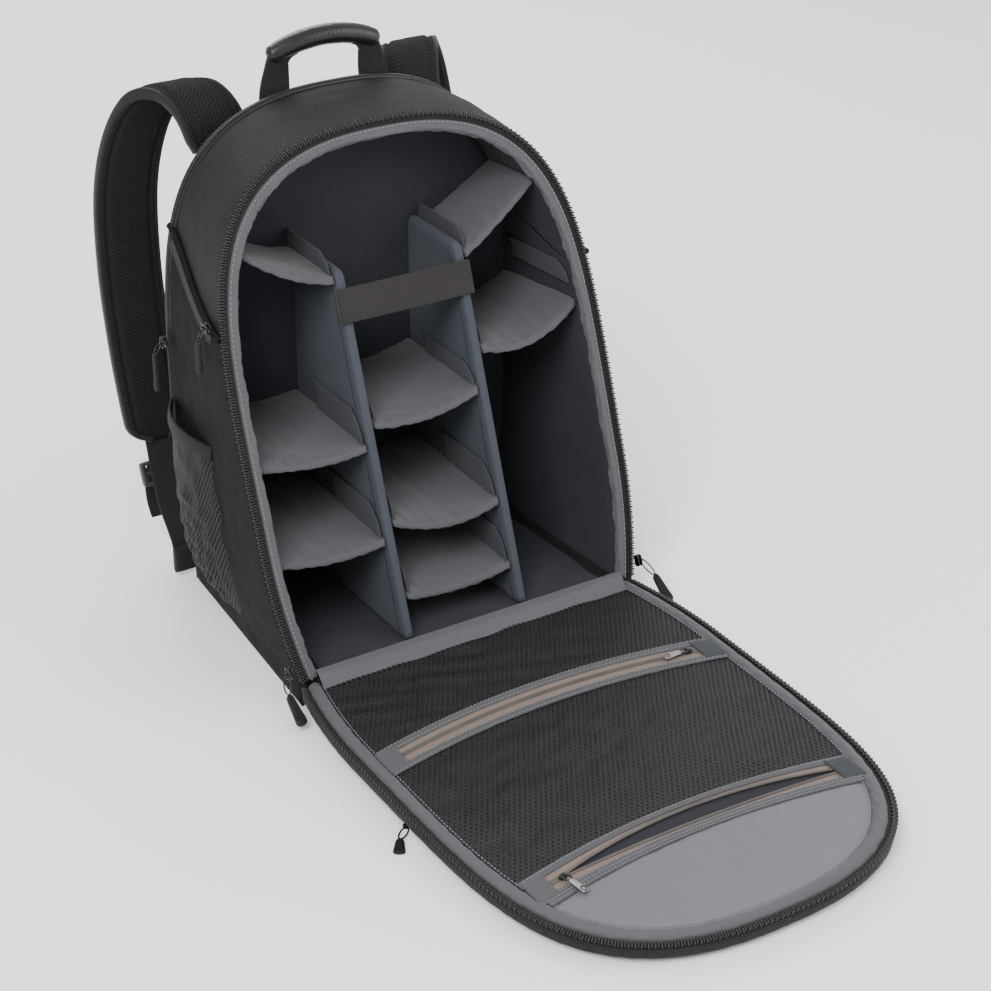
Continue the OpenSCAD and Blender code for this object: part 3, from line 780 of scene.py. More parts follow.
TEETH = moulded("zip_teeth", (0.008, 0.008, 0.0075), 0.4, gloss=0.4)
tooth = bead((0.00085, 0.0021, 0.0013), 0.5, 10, 5)
stitch = bead((0.00135, 0.00035, 0.0003), 0.8, 6, 4)
UP = np.array([0.0, 0.0, 1.0])
OPEN_UP = np.array([0.0, -math.cos(LEAN), math.sin(LEAN)])

TOOTH_COUNT = 470
t_fine = np.linspace(-1, 1, 1600)
body_edge = resample(front_edge(t_fine, 0.0012, -0.0012), TOOTH_COUNT)
body_frames = along_path(body_edge, OPEN_UP)
stagger = body_edge + body_frames[:, 1] * (0.0004 * (np.arange(TOOTH_COUNT) % 2 * 2 - 1))[:, None]
piece = assembled("opening_zip_teeth", [repeated(tooth, stagger, body_frames)], (TEETH,))
finish(piece, "pack", "zip_teeth", "body_zip_track")

tape_t = np.linspace(-1, 1, 420)[:, None]
tape_inset = np.array([[0.0, 0.0002, 0.003, 0.0062, 0.0062, 0.003]])
tape_depth = np.array([[-0.0001, -0.0007, -0.0009, -0.0009, 0.0003, 0.0003]])
closed(
    "opening_zip_tape", front_edge(tape_t, tape_inset, tape_depth), ZIP_TAPE, "pack", "coil_tape",
    "body_zip_track",
)

BINDING = woven(
    "ribbed_binding", (0.08, 0.08, 0.087), 0.0016, depth=0.0003, rough=0.65, sheen=0.12, low=0.7, high=1.3
)
turn = np.linspace(0, 1, 15)[None, :]
loose = ripples(tape_t * 7, turn * 0.6, 31)
fold_in = 0.0055 + 0.0085 * np.sin(turn * math.pi / 2) ** 0.8
fold_in = fold_in + 0.0011 * loose * turn
fold_deep = (
    -0.0014 * np.sin(math.pi * np.clip(turn * 1.25, 0, 1)) ** 0.6 + 0.009 * np.clip(turn - 0.62, 0, 1) ** 1.1
)
fold_deep = fold_deep - 0.0004 * ripples(tape_t * 12, turn, 33) * np.sin(math.pi * turn)
roll = front_edge(tape_t, fold_in, fold_deep)
hung(
    "opening_edge_binding", roll, BINDING, 0.0006, "folded",
    ["left_side_panel", "top_panel", "right_side_panel"], "pack", "lining_nylon", "opening_binding",
)

row = resample(front_edge(t_fine, 0.0078, -0.0021), 250)
row_of("opening_stitches", stitch, row, OPEN_UP, STITCH_GREY, "pack", "lining_nylon")

# ---- Shoulder seam, side zip and laptop zip
# A piped seam joins the top panel to each side. On the left it carries a short zip under a lip, and the
# laptop zip runs over the top just in front of the back panel.
def outward_of(t, v):
    """Unit direction straight out of the shell, from where the wall lies with and without an inset."""
    out = wall_at(t, v, 0.0) - wall_at(t, v, 0.001)
    return out / np.maximum(np.linalg.norm(out, axis=-1, keepdims=True), 1e-9)


def on_wall(t, v, out):
    """A path on the outside of the shell, out metres off it."""
    return wall_at(t, v, -out)


seam_v = np.linspace(0.0, 1.0, 160)
for side, label in ((-1, "left"), (1, "right")):
    spine = on_wall(side * shoulder(seam_v), seam_v, 0.0022)
    up = outward_of(side * shoulder(seam_v), seam_v)
    piece = assembled(
        f"{label}_shoulder_piping", [shell_of(strip(spine, up, rounded(0.0052, 0.0046, 10, 0.9)))],
        (FINE_NYLON,),
    )
    finish(piece, "pack", "fine_nylon")

zip_v = np.linspace(0.07, 0.84, 200)
zip_t = -shoulder(zip_v) - 0.009
spine = on_wall(zip_t, zip_v, 0.0042)
up = outward_of(zip_t, zip_v)
closed(
    "side_zip_tape", strip(spine, up, rounded(0.009, 0.0012, 12, 0.4)), ZIP_TAPE, "pack", "coil_tape",
    "side_zip_track",
)
coil = bead((0.0007, 0.0016, 0.0009), 0.7, 8, 4)
line = resample(spine + up * 0.0009, 95)
middle_v = np.linspace(zip_v[0], zip_v[-1], 95)
line_up = outward_of(-shoulder(middle_v), middle_v)
row_of("side_zip_teeth", coil, line, line_up, TEETH, "pack", "zip_teeth")

LAPTOP_ZIP_END, LAPTOP_ZIP_V = 0.55, 0.955
laptop_t = np.linspace(-LAPTOP_ZIP_END, LAPTOP_ZIP_END, 500)
laptop_line = on_wall(laptop_t, LAPTOP_ZIP_V, 0.0012)
laptop_up = outward_of(laptop_t, np.full_like(laptop_t, LAPTOP_ZIP_V))
closed(
    "laptop_zip_tape", strip(laptop_line, laptop_up, rounded(0.011, 0.0012, 12, 0.4)), ZIP_TAPE, "pack",
    "coil_tape", "laptop_zip_track",
)
count = 300
teeth_line = resample(laptop_line + laptop_up * 0.0009, count)
teeth_t = np.linspace(-LAPTOP_ZIP_END, LAPTOP_ZIP_END, count)
teeth_up = outward_of(teeth_t, np.full(count, LAPTOP_ZIP_V))
small_tooth = bead((0.0008, 0.0022, 0.0011), 0.5, 8, 4)
row_of("laptop_zip_teeth", small_tooth, teeth_line, teeth_up, TEETH, "pack", "zip_teeth")

# ---- Side mesh pockets
# Each side has a stretch pocket of black mesh, gathered at its foot and held close by a bound elastic
# edge along its top.
def open_mesh_group():
    """Knotted mesh: Thread is 1 where either of two diagonal sets of threads runs, and Height rounds them."""
    group, take, give = node_group(
        "open_mesh",
        [
            ("Cloth", "NodeSocketVector", None), ("Pitch", "NodeSocketFloat", 0.002),
            ("Width", "NodeSocketFloat", 0.6),
        ],
        [("Thread", "NodeSocketFloat"), ("Height", "NodeSocketFloat")],
    )
    parts = group.nodes.new("ShaderNodeSeparateXYZ")
    group.links.new(take.outputs["Cloth"], parts.inputs[0])
    turn = maths(group, "DIVIDE", math.pi, take.outputs["Pitch"])
    across = maths(group, "MULTIPLY", parts.outputs[0], turn)
    along = maths(group, "MULTIPLY", maths(group, "MULTIPLY", parts.outputs[1], turn), 0.62)
    rising = maths(group, "ABSOLUTE", maths(group, "SINE", maths(group, "ADD", across, along)))
    falling = maths(group, "ABSOLUTE", maths(group, "SINE", maths(group, "SUBTRACT", across, along)))
    nearest = maths(group, "MINIMUM", rising, falling)
    group.links.new(maths(group, "LESS_THAN", nearest, take.outputs["Width"]), give.inputs["Thread"])
    group.links.new(maths(group, "SUBTRACT", 1.0, nearest), give.inputs["Height"])
    return group


OPEN_MESH = open_mesh_group()


def netting(name, colour, pitch, width):
    """Open mesh cloth whose holes are clear."""
    made, tree, shader = paint(name, colour, 0.55, gloss=0.25)
    net = placed_group(tree, OPEN_MESH, Pitch=pitch, Width=width)
    tree.links.new(cloth_map(tree), net.inputs["Cloth"])
    tree.links.new(net.outputs["Thread"], shader.inputs["Alpha"])
    tint(tree, shader, colour, net.outputs["Height"], 0.3, 2.2)
    bumped(tree, shader, net.outputs["Height"], 0.0003)
    return made


POCKET_MESH = netting("pocket_mesh", (0.008, 0.008, 0.009), 0.0036, 0.7)
ELASTIC = woven(
    "bound_elastic", (0.015, 0.015, 0.017), 0.0012, depth=0.0003, rough=0.7, sheen=0.05, low=0.5, high=1.6
)
POCKET_FRONT, POCKET_BACK, POCKET_TOP, POCKET_BULGE = 0.42, 0.97, 0.69, 0.014


def pocket_point(side, t, k, out):
    """A point of a side pocket: k runs from its front edge to its back edge."""
    return wall_at(side * t, POCKET_FRONT + (POCKET_BACK - POCKET_FRONT) * k, -out)


for side, label in ((-1, "left"), (1, "right")):
    k = np.linspace(0, 1, 90)[None, :]
    down = np.linspace(0, 1, 80)[:, None]
    t = POCKET_TOP + (1 - POCKET_TOP) * down
    hang = np.clip((1 - down) * 3.2, 0, 1) ** 0.5
    pleats = 0.0011 * np.sin(2 * math.pi * (9 * k + 0.35 * ripples(down * 0.7, k, 41 + side))) * down**0.7
    sagged = 0.0022 * ripples(down * 1.3, k * 0.8, 43 + side)
    out = (
        0.0022 + (POCKET_BULGE - 0.001) * np.sin(math.pi * k) ** 0.8 * hang
        + (pleats + sagged) * np.sin(math.pi * k)
    )
    net = pocket_point(side, t, k, np.maximum(out, 0.0016))
    hung(
        f"{label}_pocket_net", net, POCKET_MESH, 0.0003, "stretched", [f"{label}_side_panel"], "pack", "mesh",
        f"{label}_mesh_pocket",
    )
    k = np.linspace(0, 1, 120)
    rim = pocket_point(side, POCKET_TOP - 0.008, k, 0.0028 + POCKET_BULGE * 0.93 * np.sin(math.pi * k) ** 0.8)
    rim_up = outward_of(np.full(120, side * POCKET_TOP), POCKET_FRONT + (POCKET_BACK - POCKET_FRONT) * k)
    closed(
        f"{label}_pocket_elastic", strip(rim, rim_up, rounded(0.011, 0.0024, 16, 0.6)), ELASTIC, "pack",
        "elastic", "pocket_bindings",
    )

# ---- Strap anchors
# The shoulder straps are sewn to the back under two padded webbing yokes at the top, and their lower
# webbing under two small folded tabs at the base.
WEBBING = woven(
    "black_webbing", (0.014, 0.014, 0.016), 0.0018, twill=0.5, depth=0.0004, rough=0.6, sheen=0.04, low=0.4,
    high=1.9,
)
for side, label in ((-1, "left"), (1, "right")):
    for part, x, z, wide, tall, thick in (
        ("yoke", 0.082, 0.333, 0.052, 0.034, 0.0085), ("tab", 0.138, 0.017, 0.026, 0.022, 0.0082),
    ):
        s = np.linspace(-1, 1, 26)
        line = np.stack([np.full(26, side * x), np.full(26, Y_BACK + thick / 2), z + s * tall / 2], -1)
        body = strip(line, np.array([0.0, 1.0, 0.0]), rounded(wide, thick, 24, 0.4))
        shrink = (1 - np.abs(s) ** 8 * 0.45)[:, None]
        body[..., 1] = line[:, None, 1] + (body[..., 1] - line[:, None, 1]) * shrink
        piece = closed(f"{label}_strap_{part}", body, WEBBING, "pack", "webbing", "strap_anchors")

# ---- Dividers
# Two long foam dividers in blue-grey loop cloth stand in the pack, and eight short curved ones of
# grey nylon hang between them and the walls, each held by a hook tab folded along its neighbour.
divider_low, divider_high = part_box("long_divider_left")
DIVIDER_THICK = divider_high.x - divider_low.x
DIVIDER_X = (divider_high.x + divider_low.x) / 2
RECESS = 0.008
DIVIDER_BACK = divider_high.y
DIVIDER_EDGE = woven(
    "divider_nylon", (0.072, 0.072, 0.08), 0.001, depth=0.0002, rough=0.6, sheen=0.12, low=0.8, high=1.2
)
HOOK_CLOTH = brushed("hook_tab", (0.045, 0.046, 0.052), fuzz=2200.0)


def opening_y(z):
    """The depth at which the dividers' front edges stand, at a height."""
    return Y_HINGE + (z - BASE_THICK) * math.tan(LEAN) + RECESS / math.cos(LEAN)


for side, label, node in ((-1, "left", "long_divider_left"), (1, "right", "long_divider_right")):
    low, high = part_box(node)
    middle = (low.x + high.x) / 2
    z = np.concatenate([
        np.linspace(low.z, high.z - 0.006, 60),
        high.z - 0.006 + 0.006 * np.sin(np.linspace(0.15, 1, 8) * math.pi / 2),
    ])
    closing = np.sqrt(np.clip(1 - np.clip((z - (high.z - 0.006)) / 0.006, 0, 1) ** 2, 0.02, 1))[:, None]
    section = rounded(2.0, 2.0, 56, 0.3)
    front = opening_y(z)[:, None]
    depth = (DIVIDER_BACK - front) / 2
    y = front + depth + (depth - 0.004 * (1 - closing)) * section[None, :, 0]
    puff = 1 + 0.10 * ripples(z[:, None] * 9, y * 9, 51 + side)
    slim = (DIVIDER_THICK / 2 - 0.0002) * section[None, :, 1] * closing
    x = middle + slim * np.where(np.abs(section[None, :, 0]) < 0.96, puff.clip(0.86, 1.0), 1.0)
    piece = closed(
        f"{label}_long_divider", np.stack([x, y, z[:, None] + 0 * y], -1), BLUE_VELOUR, "divider_insert",
        "velour", node,
    )
    seam_z = np.linspace(low.z + 0.004, high.z - 0.004, 140)
    for edge in (-1, 1):
        line = np.stack(
            [np.full(140, middle + edge * (DIVIDER_THICK / 2 + 0.00005)), opening_y(seam_z) + 0.007, seam_z],
            -1,
        )
        marks = repeated(stitch, line, along_path(line, np.array([float(edge), 0.0, 0.0])))
        seam = assembled(
            f"{label}_divider_stitches_{'outer' if edge == side else 'inner'}", [marks], (STITCH_BLACK,)
        )
        finish(seam, "divider_insert", "velour")


def wall_reach(y, z):
    """Half the width between the inner walls at a depth and height: the wall's two parameters are found
    by a few Newton steps from a first guess."""
    y, z = np.broadcast_arrays(y, z)
    table_t = np.linspace(0.0, 1.0, 400)
    table_z = wall_at(table_t, 0.5, WALL)[:, 2]
    t = np.interp(-z, -table_z, table_t)
    v = np.full_like(t, 0.5)
    for _ in range(8):
        here = wall_at(t, v, WALL)
        a = (wall_at(t + 1e-4, v, WALL) - here)[..., 1:] / 1e-4
        b = (wall_at(t, v + 1e-4, WALL) - here)[..., 1:] / 1e-4
        miss = np.stack([y, z], -1) - here[..., 1:]
        det = a[..., 0] * b[..., 1] - a[..., 1] * b[..., 0]
        det = np.where(np.abs(det) < 1e-9, 1e-9, det)
        t = np.clip(t + (miss[..., 0] * b[..., 1] - miss[..., 1] * b[..., 0]) / det, 0.01, 1.0)
        v = np.clip(v + (a[..., 0] * miss[..., 1] - a[..., 1] * miss[..., 0]) / det, 0.0, 1.0)
    return np.abs(wall_at(t, v, WALL)[..., 0])


COLUMN_EDGE = -DIVIDER_X + DIVIDER_THICK / 2 + 0.0006
MIDDLE_EDGE = -DIVIDER_X - DIVIDER_THICK / 2 - 0.0006
SHORT_THICK = 0.008
SHORT_DIVIDERS = (
    ("left_1", None, -COLUMN_EDGE, 0.352, 0.283, 0.014),
    ("left_2", None, -COLUMN_EDGE, 0.166, 0.155, 0.006),
    ("left_3", None, -COLUMN_EDGE, 0.092, 0.082, 0.006),
    ("middle_1", -MIDDLE_EDGE, MIDDLE_EDGE, 0.170, 0.176, 0.006),
    ("middle_2", -MIDDLE_EDGE, MIDDLE_EDGE, 0.094, 0.088, 0.009),
    ("middle_3", -MIDDLE_EDGE, MIDDLE_EDGE, 0.036, 0.036, 0.004),
    ("right_1", COLUMN_EDGE, None, 0.280, 0.352, 0.004),
    ("right_2", COLUMN_EDGE, None, 0.206, 0.236, 0.016),
)
for name, x_from, x_to, h_from, h_to, sag in SHORT_DIVIDERS:
    u = np.linspace(0, 1, 54)[:, None]
    section = rounded(2.0, 2.0, 48, 0.34)
    deep, thick = section[None, :, 0], section[None, :, 1]
    plain_from = -OPENING_HALF if x_from is None else x_from
    plain_to = OPENING_HALF if x_to is None else x_to
    drawn = u.copy()
    for _ in range(6):
        run = h_from + (h_to - h_from) * drawn - 4 * sag * drawn * (1 - drawn)
        z = BASE_THICK + run * math.cos(LEAN) - SHORT_THICK / 2 + thick * (SHORT_THICK / 2 - 0.0003)
        front = opening_y(z)
        y = front + (DIVIDER_BACK - front) / 2 * (1 + deep)
        reach = wall_reach(y, z) - 0.0012
        left = -reach if x_from is None else np.full_like(y, x_from)
        right = reach if x_to is None else np.full_like(y, x_to)
        x = left + (right - left) * u
        drawn = (x - plain_from) / (plain_to - plain_from)
    quilt = 0.0006 * ripples(x * 12, y * 12, 60 + len(name) + int(h_from * 1000))
    wrinkle = (
        0.0005 * np.sin(2 * math.pi * (x / 0.011 + 0.3 * ripples(x * 9, y * 3, 71)))
        * np.exp(-((deep + 1) / 0.16) ** 2)
    )
    piece = closed(
        f"short_pad_{name}",
        np.stack([x, y, z + (quilt + wrinkle) * np.sign(thick) * (1 - np.abs(deep) ** 3 * 0.3)], -1),
        DIVIDER_EDGE, f"short_divider_{name}", "fine_nylon", f"short_divider_{name}",
        uv=np.stack([x, y + z], -1),
    )
    for end, wall_x in ((-1, x_from), (1, x_to)):
        root_z = BASE_THICK + (h_from if end < 0 else h_to) * math.cos(LEAN)
        rise = np.linspace(0, 1, 14)[:, None]
        tall = 0.024 if name in ("left_2", "left_3", "middle_2", "middle_3") else 0.016
        along = np.linspace(0, 1, 24)[None, :]
        tab_z = root_z - 0.002 + tall * rise + 0 * along
        tab_front = opening_y(tab_z) + 0.002 + 0.010 * rise**3
        tab_y = tab_front + (0.074 - 0.01 * rise) * along
        if wall_x is None:
            tab_x = end * (wall_reach(tab_y, tab_z) - 0.0011)
        else:
            tab_x = np.full_like(tab_y, wall_x) - end * 0.0009
        tab_x = tab_x - end * 0.0004 * (1 + ripples(rise * 1.5, along * 2, 81 + int(root_z * 1000)))
        tab = np.stack([tab_x, tab_y, tab_z], -1)
        cloth = sew(
            f"hook_tab_{name}_{'left' if end < 0 else 'right'}", tab, materials=(HOOK_CLOTH,), thick=0.0009
        )
        finish(cloth, f"short_divider_{name}", "velour")

# ---- Lens strap
# A wide dark webbing strap crosses the fronts of both long dividers, sewn down at its left end and
# closed with hook and loop at its right.
STRAP_CLOTH = woven(
    "lens_strap_cloth", (0.026, 0.024, 0.023), 0.0012, depth=0.0003, rough=0.7, sheen=0.05, low=0.7, high=1.4
)
strap_x = np.linspace(DIVIDER_X - 0.006, -DIVIDER_X + 0.006, 60)
strap_h = 0.262 + 0 * strap_x
strap_line = in_opening(
    strap_x, strap_h, 0.0064 - 0.0015 * np.sin(math.pi * (strap_x - strap_x[0]) / (strap_x[-1] - strap_x[0]))
)
closed(
    "lens_strap_webbing", strip(strap_line, OPEN_UP, rounded(0.026, 0.0022, 30, 0.3)), STRAP_CLOTH,
    "lens_strap", "webbing", "lens_strap",
)
box = np.array([[-0.053, 0.252], [-0.043, 0.252], [-0.043, 0.272], [-0.053, 0.272], [-0.053, 0.252]])
box_path = resample(in_opening(box[:, 0], box[:, 1], 0.0052), 24)
row_of("lens_strap_stitches", stitch, box_path, OPEN_UP, STITCH_BLACK, "lens_strap", "webbing")

# ---- The flap
# The front flap is a foam board in coarse nylon, lying open on its outer pocket. Its edge carries the
# other half of the zip and a fat grey piping, and its inside is grey lining under the pockets.
FLAP_LINING_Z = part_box("flap_lining")[1].z
POCKET_TOP_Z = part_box("middle_mesh_pocket")[1].z
BOARD_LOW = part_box("flap_board")[0].z
FLAP_START = Y_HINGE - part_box("flap_board")[1].y


def flap_edge(t, inset, z):
    """The flap's outline, drawn in by inset, at a height above the floor."""
    x, h = outline(t, OPENING_HALF - inset, OPENING_LENGTH - inset)
    x, h, z = np.broadcast_arrays(x, np.maximum(h, FLAP_START), z)
    return np.stack([x, Y_HINGE - h, z], axis=-1)


def flap_sheet(inset, height, rows=90, cols=60):
    """A sheet over the whole flap: rows follow the arch, columns run across it, and height gives z."""
    s = np.linspace(0, 1, rows)[:, None]
    x, h = outline(1 - s, OPENING_HALF - inset, OPENING_LENGTH - inset)
    u = np.linspace(-1, 1, cols)[None, :]
    x = u * x
    y = Y_HINGE - np.maximum(h, FLAP_START) + 0 * u
    return np.stack([x, y, height(x, y, u, s)], axis=-1)


flap_t = np.linspace(-1, 1, 400)[:, None]
roll_inset = np.array([[0.014, 0.006, 0.0022, 0.0004, 0.0, 0.0003, 0.0016, 0.005, 0.014, 0.015]])
roll_z = np.array([[0.0146, 0.0148, 0.0146, 0.0132, 0.0105, 0.0072, 0.0050, 0.0042, 0.0042, 0.008]])
roll_z = roll_z - 0.0004 * ripples(flap_t * 9, roll_z * 60, 91) * (roll_z < 0.014) * (roll_z > 0.0045)
piece = closed(
    "flap_edge_roll", flap_edge(flap_t, roll_inset, roll_z), COARSE_NYLON, "flap", "coarse_nylon",
    "flap_board",
)
outer = flap_sheet(0.012, lambda x, y, u, s: BOARD_LOW + 0.0008 + 0 * x)
hung(
    "flap_outer_panel", outer, COARSE_NYLON, 0.001, "stretched", ["flap_edge_roll"], "flap", "coarse_nylon",
    "flap_board", flat=True,
)
inner = flap_sheet(0.006, lambda x, y, u, s: FLAP_LINING_Z - 0.0002 + 0.0005 * ripples(x * 6, y * 6, 93))
hung(
    "flap_lining_sheet", inner, LINING, 0.0006, "stretched", ["flap_edge_roll"], "flap", "lining_nylon",
    "flap_lining", flat=True,
)

tape = flap_edge(
    flap_t, np.array([[0.0, 0.003, 0.0066, 0.0066, 0.003]]),
    np.array([[0.0152, 0.0158, 0.0158, 0.0150, 0.0150]]),
)
closed("flap_zip_tape", tape, ZIP_TAPE, "flap", "coil_tape", "flap_zip_track")
flap_line = resample(flap_edge(t_fine, 0.0012, 0.0166), TOOTH_COUNT)
flap_frames = along_path(flap_line, UP)
flap_stagger = flap_line + flap_frames[:, 1] * (0.0004 * (np.arange(TOOTH_COUNT) % 2 * 2 - 1))[:, None]
piece = assembled("flap_zip_teeth", [repeated(tooth, flap_stagger, flap_frames)], (TEETH,))
finish(piece, "flap", "zip_teeth", "flap_zip_track")

PIPING = woven(
    "grey_piping", (0.08, 0.08, 0.088), 0.0011, depth=0.00015, rough=0.55, sheen=0.12, low=0.85, high=1.15
)
around = np.linspace(0, 1, 16)[None, :]
loose = ripples(flap_t * 11, around * 0.5, 95)
pipe_inset = 0.0052 + 0.0098 * around + 0.0005 * loose
pipe_z = 0.0150 + 0.0041 * np.sin(math.pi * around) ** 0.55 + 0.0003 * loose * np.sin(math.pi * around)
pipe = flap_edge(flap_t, pipe_inset, pipe_z)
hung(
    "flap_grey_piping", pipe, PIPING, 0.0006, "folded", ["flap_edge_roll"], "flap", "lining_nylon",
    "flap_piping",
)
row = resample(flap_edge(t_fine, 0.0158, 0.0180), 270)
row_of("flap_piping_stitches", stitch, row, UP, STITCH_GREY, "flap", "lining_nylon")

# ---- Pockets inside the flap
# Two black mesh pockets and a plain satin panel are sewn across the lining. Between them run two curved
# zip bands: a tan tape with a coil zip between grey bindings, with a grey tab folded over each left
# end and a dark one over each right end.
BOW = 0.022
BOW_HALF = 0.16
RIM = 0.0145


def band_half(at):
    """Half the width of the flap along a bowed line, found by bisection where the line meets the rim."""
    s = np.linspace(0, 1, 1200)
    edge_x, edge_h = half_outline(s, OPENING_HALF - RIM, HINGE_TAPER, WIDEST_AT, OPENING_LENGTH - RIM)
    low, high = np.zeros_like(at), np.full_like(at, OPENING_HALF)
    for _ in range(32):
        middle = (low + high) / 2
        reach = np.interp(at + bow_at(at) * (middle / BOW_HALF) ** 2, edge_h, edge_x, right=0.0)
        low = np.where(reach > middle, middle, low)
        high = np.where(reach > middle, high, middle)
    return low


def bow_at(at):
    """How far a line's ends bow away from the hinge; none at the hinge itself."""
    return BOW * np.clip(at / 0.085, 0, 1)


def bowed(at, u, z=0.0):
    """Points across the flap on bowed lines: at is the distance from the hinge, u runs from -1 to 1."""
    at, u, z = np.broadcast_arrays(np.asarray(at, float), u, z)
    x = u * band_half(at)
    return np.stack([x, Y_HINGE - at - bow_at(at) * (x / BOW_HALF) ** 2, z], axis=-1)


def on_bow(at, x, z):
    """Points of one bowed line, by x."""
    x, at, z = np.broadcast_arrays(x, np.asarray(at, float), z)
    return np.stack([x, Y_HINGE - at - bow_at(at) * (x / BOW_HALF) ** 2, z], axis=-1)


FLAP_MESH = netting("flap_mesh", (0.009, 0.009, 0.0105), 0.0043, 0.64)
GREY_BINDING = woven(
    "grey_band_binding", (0.075, 0.075, 0.082), 0.0014, depth=0.0003, rough=0.65, sheen=0.1, low=0.6, high=1.4
)
TAN_TAPE = woven(
    "tan_zip_tape", (0.185, 0.138, 0.118), 0.0009, depth=0.0002, rough=0.7, sheen=0.1, low=0.75, high=1.25
)
COIL = moulded("grey_coil", (0.09, 0.08, 0.075), 0.5)
# Painted shade: a dark cloth that stands for the shade inside the part-open second pocket, whose lining is
# grey.
INNER_SHADE = woven("pocket_inside", (0.02, 0.02, 0.026), 0.001, depth=0.0001, rough=0.8, low=0.8, high=1.2)
TAB_CLOTH = woven(
    "dark_end_tab", (0.036, 0.039, 0.046), 0.0008, depth=0.00015, rough=0.6, sheen=0.1, low=0.8, high=1.2
)

for name, first, last, node, seed in (
    ("hinge_pocket_net", FLAP_START + 0.001, 0.0865, "hinge_mesh_pocket", 101),
    ("middle_pocket_net", 0.1135, 0.2635, "middle_mesh_pocket", 103),
):
    at = np.linspace(first, last, 90)[:, None]
    u = np.linspace(-1, 1, 120)[None, :]
    plain = bowed(at, u)
    depth = (at - first) / (last - first)
    hold = np.clip(np.sin(math.pi * depth), 0, 1) ** 0.4 * np.clip((1 - np.abs(u)) * 6, 0, 1) ** 0.5
    creases = ripples(plain[..., 0] * 7, plain[..., 1] * 9, seed) * 0.0011 + ripples(
        plain[..., 0] * 2, plain[..., 1] * 3, seed + 1
    ) * 0.001
    net = plain.copy()
    net[..., 2] = np.maximum(POCKET_TOP_Z - 0.0012 + (0.0014 + creases) * hold, FLAP_LINING_Z + 0.0008)
    hung(name, net, FLAP_MESH, 0.0003, "stretched", ["flap_lining_sheet"], "flap", "mesh", node, flat=True)

at = np.concatenate([np.linspace(0.2925, 0.36, 60), np.linspace(0.361, 0.3772, 30)])[:, None]
u = np.linspace(-1, 1, 110)[None, :]
satin = bowed(at, u)
fall = (
    np.clip((at - 0.2925) / 0.010, 0, 1) ** 0.5 * np.clip((0.3775 - at) / 0.012, 0, 1) ** 0.5
    * np.clip((1 - np.abs(u)) * 8, 0, 1) ** 0.5
)
gather = 0.0007 * ripples(satin[..., 0] * 11, satin[..., 1] * 4, 107) * np.exp(-((at - 0.2925) / 0.03) ** 2)
satin[..., 2] = POCKET_TOP_Z - 0.0022 + (
    0.0020 + 0.0006 * ripples(satin[..., 0] * 5, satin[..., 1] * 6, 105) + gather
) * fall
hung(
    "satin_end_panel", satin, SATIN, 0.0006, "stretched", ["flap_lining_sheet"], "flap", "satin_nylon",
    "end_panel", flat=True,
)

fine_stitch = bead((0.0011, 0.0003, 0.00025), 0.8, 6, 4)
coil_bead = bead((0.0005, 0.0013, 0.0007), 0.8, 8, 4)


def gap_between(x, start, end, wide):
    """Half the opening of a part-open zip: a flattened arch between its two ends."""
    return wide * np.sin(math.pi * np.clip((x - start) / (end - start), 0, 1)) ** 0.8


